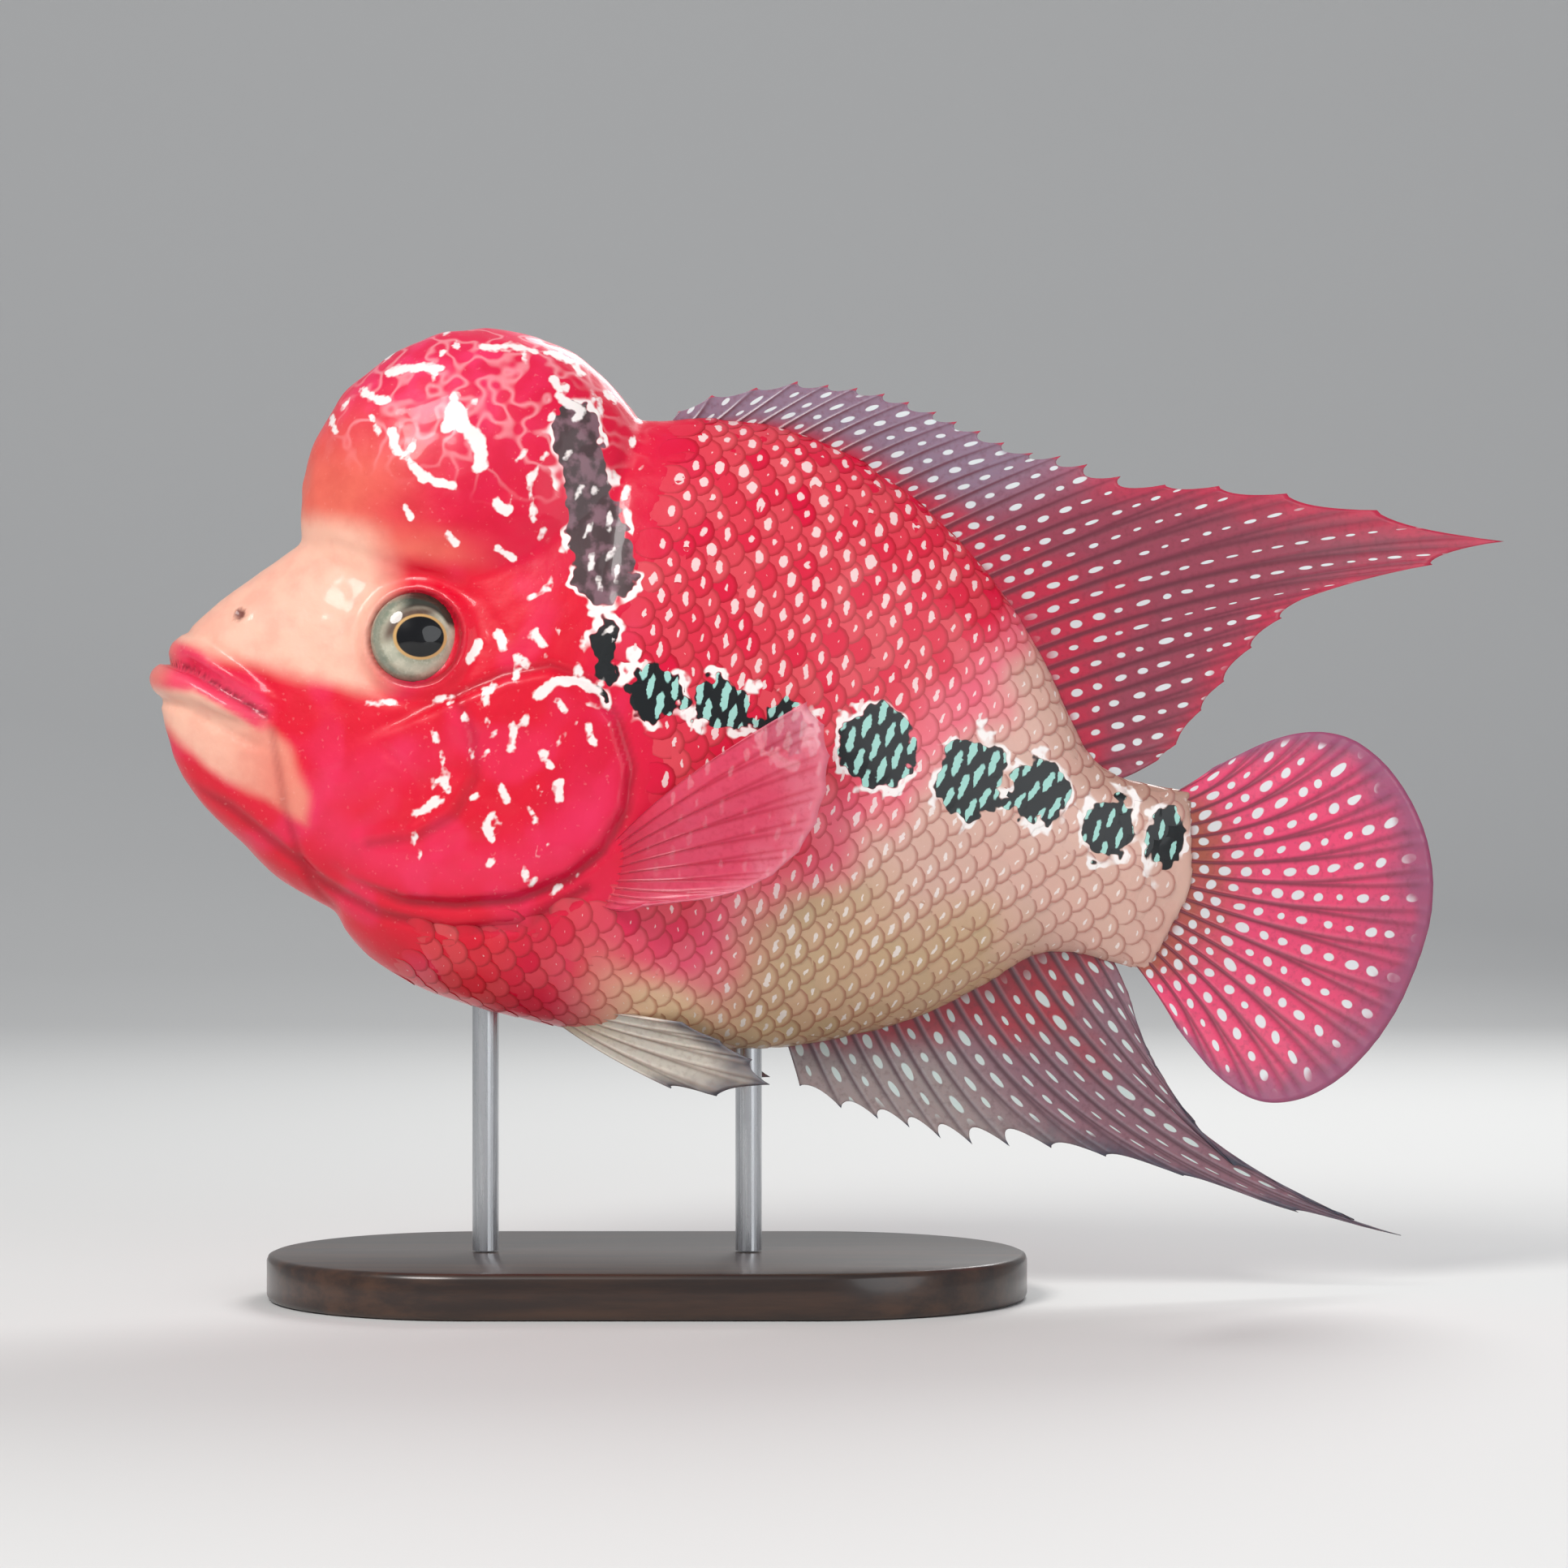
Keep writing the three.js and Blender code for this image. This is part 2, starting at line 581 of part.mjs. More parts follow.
addNode(fish, "head", head, paleSkin);
addNode(fish, "lower_jaw", lowerJaw, paleSkin);
addNode(fish, "upper_lip", largest(upperLip), lipSkin);
addNode(fish, "lower_lip", largest(lowerLip), lipSkin);
addNode(fish, "nuchal_hump", hump, redSkin);
addNode(fish, "trunk", trunk, redSkin);
addNode(fish, "caudal_peduncle", peduncle, tanSkin);
addNode(fish, "dorsal_fin", dorsal, finSkin);
addNode(fish, "anal_fin", anal, finSkin);
addNode(fish, "tail_fin", tailFin, finSkin);
for (const [i, side] of [-1, 1].entries()) {
  const name = side < 0 ? "left" : "right";
  addNode(fish, `${name}_eye`, eyes[i], eyeGlass);
  addNode(fish, `${name}_gill_cover`, covers[i], redSkin);
  addNode(fish, `${name}_pectoral_fin`, pectoral(side), finSkin);
  addNode(fish, `${name}_pelvic_fin`, pelvic(side), finSkin);
}
addNode(part, "stand_base", solid(baseGeometry()), standBlack);
for (const [i, x] of ROD_X.entries())
  addNode(part, `stand_rod_${i + 1}`, rodSolid(x), standSteel);

export default part;
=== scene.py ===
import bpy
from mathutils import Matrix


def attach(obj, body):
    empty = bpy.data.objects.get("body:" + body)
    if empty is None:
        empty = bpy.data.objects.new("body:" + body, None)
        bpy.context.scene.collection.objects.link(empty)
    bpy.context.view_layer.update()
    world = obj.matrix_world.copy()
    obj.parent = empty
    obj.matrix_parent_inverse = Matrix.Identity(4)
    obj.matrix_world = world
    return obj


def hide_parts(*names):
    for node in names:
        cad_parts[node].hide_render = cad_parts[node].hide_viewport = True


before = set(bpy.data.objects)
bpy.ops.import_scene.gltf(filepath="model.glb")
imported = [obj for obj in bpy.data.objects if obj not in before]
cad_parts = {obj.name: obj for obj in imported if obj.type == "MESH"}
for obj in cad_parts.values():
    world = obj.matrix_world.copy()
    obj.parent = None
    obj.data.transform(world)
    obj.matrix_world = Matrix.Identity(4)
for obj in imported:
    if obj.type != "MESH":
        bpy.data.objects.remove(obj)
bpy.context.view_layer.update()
print("solids", sorted(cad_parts))

# %% [markdown]
# The fish hangs nose up over its base, so its own length runs aslant in the frame of the stand.
# Each measurement could be turned by hand. Here they stay in the fish's own frame, in millimetres,
# with x from the lips to the tail, y across and z up, because they can be read on the animal.
# %% The fish's own frame
import math

import bmesh
import bpy
import numpy as np
from mathutils import Matrix, Vector, noise
from mathutils.bvhtree import BVHTree

PITCH = math.radians(14)
LIPS = Vector((-0.097, 0, 0.125))
FISH = Matrix.Translation(LIPS) @ Matrix.Rotation(PITCH, 4, "Y") @ Matrix.Scale(0.001, 4)
TAIL_BEND_FROM = 120
TAIL_BEND = 0.0006


def tail_bend(x):
    """How far the fish's middle has swung to its right at x."""
    return TAIL_BEND * np.maximum(0.0, x - TAIL_BEND_FROM) ** 2


print("the lips are", round(LIPS.z * 1000), "mm above the floor")

# %% [markdown]
# The outline of a fish bends evenly, with no corners and no waves. A spline through measured points
# can swing past them, so the curves here set the slope at each point from its two neighbours, which
# keeps every stretch between the heights of its ends.
# %% Smooth curves and steps
def curve(points):
    """A smooth curve through (position, value) points that doesn't overshoot them."""
    xs = np.array([p[0] for p in points], float)
    ys = np.array([p[1] for p in points], float)
    slopes = np.diff(ys) / np.diff(xs)
    inner = slopes[:-1] * slopes[1:]
    both = slopes[:-1] + slopes[1:]
    middle = np.where(inner > 0, 2 * inner / np.where(both == 0, 1, both), 0)
    tangents = np.concatenate([slopes[:1], middle, slopes[-1:]])

    def at(x):
        x = np.clip(x, xs[0], xs[-1])
        i = np.clip(np.searchsorted(xs, x) - 1, 0, len(xs) - 2)
        width = xs[i + 1] - xs[i]
        t = (x - xs[i]) / width
        rest = 1 - t
        bow = slopes[i] * width
        pull = rest * (tangents[i] * width - bow) - t * (tangents[i + 1] * width - bow)
        return ys[i] * rest + ys[i + 1] * t + t * rest * pull

    return at


def smoothstep(low, high, x):
    t = np.clip((x - low) / (high - low), 0, 1)
    return t * t * (3 - 2 * t)


print("halfway up a smooth step:", float(smoothstep(0, 2, 1)))

# %% [markdown]
# The trunk of a fish is a tube whose height and breadth change along its length. It could be
# sculpted, but curves for the back, the belly and the breadth are easier to keep true to the
# measured outline.
# %% Curves of the body
back = curve([
    (1.2, 1.5), (2.6, 5.2), (5, 9), (10, 16.2), (15, 22), (21.5, 29.5), (35, 43), (54, 56.5),
    (73, 66.8), (86, 71.2), (98, 74.5), (110, 75.2), (122, 73.5), (134, 69.5), (146, 63.5),
    (158, 55), (169, 44.5), (178, 33.5), (184, 27), (191, 24.6), (198, 24.8), (206, 26),
])
belly = curve([
    (1.2, -1.5), (2.6, -7), (6, -13.7), (9, -18.5), (16, -24.8), (25, -30), (34, -35.2),
    (42, -37.6), (46.5, -38.8), (49.5, -42.2), (58, -47), (70, -49.7), (82, -50.3), (95, -50),
    (109, -49.2), (123, -47.3), (137, -43.8), (150, -38.3), (162, -31.7), (174, -21.8),
    (184, -12.8), (192, -11.3), (206, -12.2),
])
breadth = curve([
    (1.2, 1.6), (2.6, 4.2), (5, 7), (10, 10), (20, 13.6), (32, 17.4), (45, 20.6), (60, 23.4),
    (76, 25), (95, 25), (115, 23.2), (135, 19.8), (155, 15.2), (172, 10.6), (185, 7.6),
    (196, 5.2), (206, 2.6),
])
broadest = curve([
    (1.2, 0), (20, -3), (45, -4), (75, -5), (110, -2), (140, 4), (172, 6.5), (206, 7),
])
full_above = curve([(0, 0.85), (60, 0.95), (90, 1.1), (150, 1.2), (206, 0.9)])
full_below = curve([(0, 0.8), (40, 0.75), (80, 0.72), (130, 0.85), (206, 0.9)])
BODY_FROM = 1.2
BODY_TO = 206
print("the body is deepest at", round(float(back(110) - belly(110))), "mm")

# %% [markdown]
# A fish isn't an oval in section: its back is narrow and its belly full. Above and below the
# broadest place, each cross section is a half oval with a fullness of its own, which says how soon
# it narrows. Scales, fins and eyes ask the same functions where the skin is.
# %% Cross sections
def section(x, angle):
    """A point of the body's skin. The angle is 0 at the back, +-90 degrees at the flanks."""
    middle = broadest(x)
    upper = math.cos(angle) > 0
    fullness = full_above(x) if upper else full_below(x)
    reach = back(x) - middle if upper else middle - belly(x)
    sine = math.sin(angle)
    across = math.copysign(abs(sine) ** float(fullness), sine)
    z = middle + reach * math.cos(angle)
    # The body thins out over the root of the tail fin, in a round edge
    thin = 1 - 0.8 * smoothstep(196, 207, x)
    out = 3.5 * smoothstep(190, 206, x) * max(0.0, 1 - ((z - 6) / 19) ** 2)
    return Vector((x + out, breadth(x) * thin * across + tail_bend(x), z))


def flank(x, z):
    """The body's half breadth at a length and a height."""
    middle = broadest(x)
    reach = back(x) - middle if z > middle else middle - belly(x)
    fullness = full_above(x) if z > middle else full_below(x)
    up = min(1.0, abs(z - middle) / reach)
    return float(breadth(x) * math.sqrt(1 - up * up) ** fullness)


print("half as broad as", round(flank(85, 0)), "mm behind the gills")

# %% [markdown]
# A ball is the simplest closed surface, and each of its points has a place between two poles and an
# angle round them. Moving every point to the same place and angle on another form turns the ball
# into a body or a hump with no seam to close.
# %% Balls turned into body and hump
HUMP = {"x": 55, "z": 44.5, "length": 35.6, "breadth": 21, "height": 36.4}


def mesh_from(bm, name):
    mesh = bpy.data.meshes.new(name)
    bm.to_mesh(mesh)
    bm.free()
    return mesh


def in_scene(name, data):
    made = bpy.data.objects.new(name, data)
    bpy.context.scene.collection.objects.link(made)
    return made


def mapped_ball(name, around, along, place):
    bm = bmesh.new()
    bmesh.ops.create_uvsphere(bm, u_segments=around, v_segments=along, radius=1)
    for v in bm.verts:
        t = math.acos(max(-1, min(1, v.co.z))) / math.pi
        v.co = place(t, math.atan2(v.co.y, v.co.x))
    bmesh.ops.recalc_face_normals(bm, faces=bm.faces)
    return bpy.data.objects.new(name, mesh_from(bm, name))


def body_place(t, angle):
    # The power draws the rings closer together over the head
    x = BODY_FROM + (BODY_TO - BODY_FROM) * t**1.25
    if t < 1e-6 or t > 1 - 1e-6:
        end = x + (4 if t > 0.5 else -0.5)
        return Vector((end, tail_bend(x), 0.5 * float(back(x) + belly(x))))
    return section(x, angle)


def hump_place(t, angle):
    ring = math.sin(math.pi * t)
    x = HUMP["x"] + HUMP["length"] * ring * math.cos(angle)
    y = HUMP["breadth"] * ring * math.sin(angle)
    return Vector((x, y, HUMP["z"] + HUMP["height"] * math.cos(math.pi * t)))


shapes = [
    mapped_ball("body_form", 120, 220, body_place),
    mapped_ball("hump_form", 128, 96, hump_place),
]
print("forms", [s.name for s in shapes])

# %% [markdown]
# Each lip is a soft bar that runs round the snout and thins out towards the corners of the mouth.
# A swept curve would do too, but its ends would need caps. The ball again needs none: its poles
# become the two corners, and its rings follow a path with a radius at every point.
# %% Lips
# Half of each path: x, y, z and radius, from the corner of the mouth to the front
LOWER_LIP = [
    (25.5, 14.6, -5.9, 1.3), (18, 12.6, -4, 2.4), (11, 9.5, -2.5, 3.2), (6, 5.9, -2.2, 3.9),
    (4, 0, -2.2, 4.3),
]
UPPER_LIP = [
    (25, 14.3, -2.4, 1.1), (18, 12.4, 0.5, 1.9), (11.5, 9.2, 3.2, 2.4), (7.2, 5.4, 4.9, 2.6),
    (5.6, 0, 5.5, 2.7),
]
LIP_STEPS = 60


def lip_place(half):
    path = [(x, -y, z, r) for x, y, z, r in half] + half[-2::-1]
    steps = [i / (len(path) - 1) for i in range(len(path))]
    axes = [curve([(s, p[k]) for s, p in zip(steps, path)]) for k in range(4)]
    spine = [
        Vector([float(axes[k](i / LIP_STEPS)) for k in range(3)]) for i in range(LIP_STEPS + 1)
    ]

    def place(t, angle):
        i = min(LIP_STEPS - 1, int(t * LIP_STEPS))
        centre = spine[i].lerp(spine[i + 1], t * LIP_STEPS - i)
        forward = (spine[i + 1] - spine[i]).normalized()
        out = forward.cross(Vector((0, 0, 1))).normalized()
        up = out.cross(forward)
        radius = float(axes[3](t)) * min(1.0, math.sqrt(max(0, 1 - (2 * t - 1) ** 12)))
        return centre + (out * math.cos(angle) + up * math.sin(angle)) * radius

    return place


shapes.append(mapped_ball("lower_lip_form", 24, 120, lip_place(LOWER_LIP)))
shapes.append(mapped_ball("upper_lip_form", 24, 120, lip_place(UPPER_LIP)))
print("forms", [s.name for s in shapes])

# %% [markdown]
# Living skin has no seams, so the forms have to become one surface. A union would keep their uneven
# faces. A voxel remesh keeps only the outside of everything that overlaps and spreads its faces
# evenly, which suits the fine folds that come next. A light smoothing softens the creases.
# %% One skin over all forms
VOXEL = 0.86


def join_forms(name, forms):
    bm = bmesh.new()
    for form in forms:
        bm.from_mesh(form.data)
        bpy.data.objects.remove(form)
    return in_scene(name, mesh_from(bm, name))


def with_modifiers(obj):
    """Replaces an object's mesh by what its modifiers make of it."""
    bpy.context.view_layer.update()
    evaluated = obj.evaluated_get(bpy.context.evaluated_depsgraph_get())
    made = bpy.data.meshes.new_from_object(evaluated)
    obj.modifiers.clear()
    obj.data = made


skin = join_forms("skin", shapes)
remesh = skin.modifiers.new("one_skin", "REMESH")
remesh.mode = "VOXEL"
remesh.voxel_size = VOXEL
soften = skin.modifiers.new("soften", "SMOOTH")
soften.factor = 0.5
soften.iterations = 4
with_modifiers(skin)
print("skin", len(skin.data.polygons), "faces")

# %% [markdown]
# The gill cover, the folds of cheek and throat, the mouth, the eye and the nostril lie at fixed
# places on the head. Seen from the side each is a line or a point, so a few points are enough to
# say where it runs, and both the relief and the colours can use them.
# %% Lines of the head
GILL_COVER = [
    (69, 14), (77, 17.5), (85, 16.5), (91.5, 11), (96.3, 3), (97.3, -5), (94.8, -13.5),
    (90, -20), (81.5, -26.3), (70, -30.2), (60, -32), (48, -31), (36, -25.5), (27, -18),
]
JAW_FOLD = [(27, -7), (30, -14), (33, -21), (37, -28), (41, -34), (46, -38)]
THROAT_FOLD = [
    (12, -21), (22, -23.5), (33, -28.5), (44, -33.5), (56, -36.5), (70, -36), (84, -31.5), (94, -22),
]
CHEEK_FOLD = [(61, 8), (66, 2), (68.5, -6), (66.5, -14), (60, -20), (51, -23.5)]
FRONT_CHEEK_FOLD = [(50, -5), (57, -9), (60, -15), (57, -20)]
BROW_FOLD = [(22, 29.5), (30, 31), (40, 29.8), (50, 29.5), (60, 27.5), (66, 22)]
NAPE_FOLD = [(84, 69), (81, 58), (82, 46), (84, 34)]
MOUTH = [(-1, 1.3), (8, 0.9), (17, -1.9), (25.5, -4.4)]
LOWER_LIP_LINE = [(0, -2.4), (8, -2.6), (17, -4.6), (24.5, -6.4)]
UPPER_LIP_LINE = [(2, 4.8), (9, 3.6), (17, 0.6), (24.5, -2.6)]
EYE = {"x": 50.2, "z": 17.2, "radius": 9, "bulge": 5.4, "turn": 0.2, "lift": 0.1, "sink": 2.2}
NOSTRIL = (14.6, 13.6)
# Folds: the line, how far it is raised or sunk, and its half width
FOLDS = [
    (THROAT_FOLD, -0.75, 1.0), (JAW_FOLD, -0.55, 0.9), (CHEEK_FOLD, -0.5, 1.3),
    ([(x - 2, z) for x, z in CHEEK_FOLD], 0.5, 1.7), (FRONT_CHEEK_FOLD, -0.35, 1.1),
    (BROW_FOLD, -0.45, 1.6), (NAPE_FOLD, -0.6, 1.6),
]
print("folds", len(FOLDS))

# %% [markdown]
# A fold or a mark is strong at its line and fades beside it, so all that is needed is how far a
# point is from the line. An image could hold that, but distances are worked out here at any
# fineness and never blur.
# %% Distances in the side view
def to_line(x, z, line, closed=False):
    """The distance from many points to a line of straight pieces."""
    best = np.full(len(x), 1e9)
    ends = zip(line, line[1:] + line[:1]) if closed else zip(line, line[1:])
    for (ax, az), (bx, bz) in ends:
        dx, dz = bx - ax, bz - az
        t = np.clip(((x - ax) * dx + (z - az) * dz) / (dx * dx + dz * dz), 0, 1)
        best = np.minimum(best, np.hypot(x - ax - t * dx, z - az - t * dz))
    return best


def inside(x, z, line):
    """The distance to a closed line, positive inside it."""
    odd = np.zeros(len(x), bool)
    for (ax, az), (bx, bz) in zip(line, line[1:] + line[:1]):
        crosses = (az > z) != (bz > z)
        step = 1e-9 if bz == az else bz - az
        odd ^= crosses & (x < (bx - ax) * (z - az) / step + ax)
    return np.where(odd, 1, -1) * to_line(x, z, line, True)


def ridge(distance, wide):
    return np.exp(-((distance / wide) ** 2))


def points_of(mesh):
    co = np.empty(len(mesh.vertices) * 3)
    mesh.vertices.foreach_get("co", co)
    return co.reshape(-1, 3)


skin_points = points_of(skin.data)
covered = inside(skin_points[:, 0], skin_points[:, 2], GILL_COVER) > 0
print("points inside the outline of the gill cover:", int(covered.sum()))

# %% [markdown]
# The edge of the gill cover stands up, the eye has a raised rim, and folds and nostrils are sunk,
# all by a millimetre or so. Separate pieces would show their seams. Here the skin itself is moved
# along its normals by those distances, and the reliefs stay as soft as on the fish.
# %% Relief of the head
def mouth_relief(x, z):
    lower = to_line(x, z, LOWER_LIP_LINE)
    upper = to_line(x, z, UPPER_LIP_LINE)
    between = to_line(x, z, MOUTH)
    mouth = 0.5 * ridge(lower, 2.2) + 0.4 * ridge(upper, 1.7) - 1.2 * ridge(between, 0.6)
    mouth -= 0.6 * ridge(lower - 4.2, 0.9) + 0.5 * ridge(upper - 3.4, 0.9)
    return np.where(between < 9, mouth * smoothstep(29, 23, x), 0)


def relief(co):
    x, y, z = co[:, 0], co[:, 1], co[:, 2]
    cover = inside(x, z, GILL_COVER)
    rear = smoothstep(40, 62, x)
    raised = 1.25 * smoothstep(-0.3, 1.2, cover) * rear - 0.5 * ridge(cover + 1.0, 0.9) * rear
    raised -= 0.9 * smoothstep(1, 14, cover) * rear
    for line, height, wide in FOLDS:
        raised += height * ridge(to_line(x, z, line), wide)
    eye = np.hypot(x - EYE["x"], z - EYE["z"])
    raised += 1.0 * ridge(eye - 9.9, 1.1) - 0.4 * ridge(eye - 12.4, 1.2)
    raised -= 1.4 * smoothstep(8.9, 8.1, eye)
    hole = np.hypot(x - NOSTRIL[0], z - NOSTRIL[1])
    raised += 0.35 * ridge(hole - 1.7, 0.7) - 1.1 * ridge(hole, 0.9)
    return raised * smoothstep(6, 12, np.abs(y)) + mouth_relief(x, z) * smoothstep(-1, 1, np.abs(y))


def move_along_normals(obj, amount):
    normals = np.empty(len(obj.data.vertices) * 3)
    obj.data.vertex_normals.foreach_get("vector", normals)
    co = points_of(obj.data) + normals.reshape(-1, 3) * amount[:, None]
    obj.data.vertices.foreach_set("co", co.ravel())
    obj.data.update()


move_along_normals(skin, relief(skin_points))
print("relief added to", len(skin_points), "points")

# %% [markdown]
# The hump is fat under thin skin, so it is lumpy, and no skin is quite even. Sculpting would give
# the finest lumps. Slow noise gives enough of them here, more on the hump and less elsewhere.
# %% Lumps of the hump
def swell(co, size, amount):
    return np.array([noise.noise(Vector(p) / size) for p in co]) * amount


skin_points = points_of(skin.data)
hump_top = smoothstep(26, 34, skin_points[:, 2] - 0.2 * skin_points[:, 0])
move_along_normals(skin, swell(skin_points, 7, 0.5) * hump_top)
move_along_normals(skin, swell(points_of(skin.data), 3.2, 0.12))
print("points on the hump:", int((hump_top > 0.5).sum()))

# %% [markdown]
# A flowerhorn has a peach face, a crimson front and back, a cream belly and a tan rear, and these
# areas melt into each other. They are named once here as colours. A soft step with a slow waver in
# it makes each border, since a straight border would look painted.
# %% Named colours
def colour(text):
    """A web colour as linear light."""
    parts = [int(text[i:i + 2], 16) / 255 for i in (0, 2, 4)]
    return np.array([c / 12.92 if c <= 0.04045 else ((c + 0.055) / 1.055) ** 2.4 for c in parts])


CRIMSON = colour("de0038")
SCARLET = colour("e4002c")
ROSE = colour("f4366c")
PEACH = colour("f8bea6")
SALMON = colour("ec6f5c")
CREAM = colour("ecd0a2")
TAN = colour("dab0a0")
OLIVE = colour("c2a678")
UMBER = colour("7c5844")
LIP_PINK = colour("ee3c62")
# Dark reds for painted shade, with blood showing too, in the folds, the mouth's gap and round the eye
FOLD_SHADE_RED = colour("8e0a20")
MOUTH_SHADE_RED = colour("7c1a2c")
LID_SHADE_RED = colour("5a1a22")
NOSTRIL_SHADE_BROWN = colour("6a2a26")


def lumps(co, size, seed):
    """Slow changes from place to place, about -1 to 1."""
    off = Vector((seed * 17.3, seed * 5.1, seed * 9.7))
    return np.array([noise.noise(Vector(p) / size + off) for p in co]) * 1.6


def mix(below, above, share):
    return below + (above - below) * share[:, None]


print("crimson as linear light", [round(float(c), 2) for c in CRIMSON])

# %% [markdown]
# The body is tan at the rear and red in front, and the red runs farthest to the rear along the back.
# One border for all heights would be wrong, so the border's place depends on the height. Rose lies
# between the two, olive over the lower rear and cream under the belly.
# %% Colours of the body
def body_tint(x, z, wander):
    tint = np.tile(TAN, (len(x), 1))
    rear = smoothstep(112, 132, x) * smoothstep(192, 170, x)
    tint = mix(tint, OLIVE, 0.75 * smoothstep(-2, -16, z + wander) * rear)
    tint = mix(tint, UMBER, 0.55 * smoothstep(16, 24, z) * smoothstep(172, 196, x))
    red_to = 143 + 0.5 * np.maximum(z, 0) + 0.85 * np.minimum(z + 4, 0) + wander * 1.3
    tint = mix(tint, ROSE, smoothstep(red_to + 9, red_to - 5, x) * 0.8)
    tint = mix(tint, CRIMSON, smoothstep(red_to - 3, red_to - 16, x))
    tint = mix(tint, ROSE, smoothstep(22, 6, np.abs(x - 112)) * smoothstep(-12, -30, z) * 0.5)
    low = smoothstep(-31, -41, z + wander * 0.5 + 0.2 * (x - 112))
    return mix(tint, CREAM, low * smoothstep(92, 112, x) * 0.9)


print("tail's tan", [round(float(c), 2) for c in TAN])

# %% [markdown]
# The head is scarlet, with a bare peach face from the lips to the eye, a peach patch under the jaw
# and a paler front on the hump. The same soft steps draw them, each over the one before, so a later
# area always covers an earlier one and the order says which is on top.
# %% Colours of the head
JAW_AREA = [
    (-5, 2), (24, -4), (31, -9), (37, -17), (38, -23), (30, -21.5), (20, -18), (10, -13.4), (-2, -7),
]


def hump_tint(tint, co, wander):
    x, z = co[:, 0], co[:, 2]
    hump = smoothstep(27, 31, z - 0.12 * (x - 20)) * smoothstep(92, 84, x)
    pale = smoothstep(-0.15, 0.5, lumps(co, 4.2, 3)) * 0.4
    tint = mix(tint, CRIMSON, hump)
    tint = mix(tint, ROSE, hump * smoothstep(40, 64, z) * (0.35 + pale) * smoothstep(75, 45, x))
    front = smoothstep(52, 30, x + wander * 0.6 - 0.25 * (z - 40))
    tint = mix(tint, SALMON, hump * front * smoothstep(66, 40, z) * 0.95)
    foot = smoothstep(42, 33, z + wander * 0.3) * smoothstep(66, 48, x)
    return mix(tint, SALMON, hump * foot * 0.8)


def head_tint(tint, co, wander):
    x, z = co[:, 0], co[:, 2]
    tint = mix(tint, SCARLET, smoothstep(88, 78, x) * smoothstep(58, 40, z))
    patches = smoothstep(0.1, 0.7, lumps(co, 9, 5))
    tint = mix(tint, ROSE, patches * 0.35 * smoothstep(98, 90, x))
    tint = mix(tint, ROSE, 0.45 * ridge(inside(x, z, GILL_COVER) - 6, 5) * smoothstep(4, -8, z))
    tint = hump_tint(tint, co, wander)
    edge = 44 - 0.25 * np.maximum(z - 8, 0)
    face = smoothstep(edge + 7, edge - 4, x + wander * 0.5) * smoothstep(2, 7, z + wander * 0.25)
    tint = mix(tint, PEACH, face * smoothstep(36, 30, z - 0.1 * x))
    jaw = smoothstep(-1.6, 1.6, inside(x, z, JAW_AREA) + wander * 0.25)
    jaw_colour = mix(np.tile(PEACH, (len(co), 1)), SALMON, smoothstep(12, 34, x) * 0.7)
    return mix(tint, jaw_colour, jaw)


print("points round the jaw patch:", len(JAW_AREA))

# %% [markdown]
# Lips are pink, and skin looks darker in the bottom of a fold, in the gap of the mouth and round
# the eye, where blood shows and light doesn't reach. Lights alone would leave such shallow folds too
# pale, so a little dark red is laid into them as painted shade, and the hole of the nostril is
# painted dark brown as shade. All the colours are kept on the points, as an attribute that skin and
# scales can both carry.
# %% Lips and shaded folds
def shade_tint(tint, co):
    x, z = co[:, 0], co[:, 2]
    front = smoothstep(6.2, 4.2, to_line(x, z, [(-1, 0.6), (8, 0.6)]) + 0.12 * np.maximum(x, 0))
    lips = np.maximum(front, smoothstep(3.6, 2.2, to_line(x, z, [(8, 0.6), (17, -2), (25, -4.5)])))
    lips *= smoothstep(28, 23, x)
    tint = mix(tint, LIP_PINK, lips * 0.95)
    tint = mix(tint, CREAM, smoothstep(6, 1, x) * lips * 0.3)
    # Painted shade, with blood showing: the gap of the mouth is darkened deep red
    gap = ridge(to_line(x, z, MOUTH), 0.6) * smoothstep(27, 24, x)
    tint = mix(tint, MOUTH_SHADE_RED, gap * 0.85)
    # Painted shade, with blood showing: the folds and the edge of the gill cover are darkened red
    folds = ridge(to_line(x, z, THROAT_FOLD), 1.0) + 0.6 * ridge(to_line(x, z, JAW_FOLD), 0.9)
    cover = inside(x, z, GILL_COVER)
    folds += 0.8 * ridge(cover + 0.9, 0.8) * smoothstep(50, 64, x)
    folds += 0.5 * ridge(to_line(x, z, CHEEK_FOLD), 1.0)
    tint = mix(tint, FOLD_SHADE_RED, np.clip(folds, 0, 1) * 0.6 * smoothstep(4, 9, np.abs(co[:, 1])))
    # Painted shade, with blood showing: a dark red ring round the eye
    eye = np.hypot(x - EYE["x"], z - EYE["z"])
    tint = mix(tint, LID_SHADE_RED, ridge(eye - 8.9, 0.7) * 0.5)
    # Painted shade: the hole of the nostril is darkened brown
    hole = np.hypot(x - NOSTRIL[0], z - NOSTRIL[1])
    return mix(tint, NOSTRIL_SHADE_BROWN, smoothstep(1.5, 0.8, hole) * 0.9)


def tint_of(co):
    wander = lumps(co, 14, 1) * 4 + lumps(co, 5, 2) * 1.5
    tint = body_tint(co[:, 0], co[:, 2], wander)
    tint = head_tint(tint, co, wander)
    return np.clip(shade_tint(tint, co), 0, 1)


def store(mesh, name, values):
    if values.ndim == 1:
        layer = mesh.attributes.new(name, "FLOAT", "POINT")
        layer.data.foreach_set("value", values.astype(np.float32))
        return
    layer = mesh.attributes.new(name, "FLOAT_COLOR", "POINT")
    full = np.ones((len(values), 4), np.float32)
    full[:, :3] = values
    layer.data.foreach_set("color", full.ravel())


print("colours of the areas are ready")

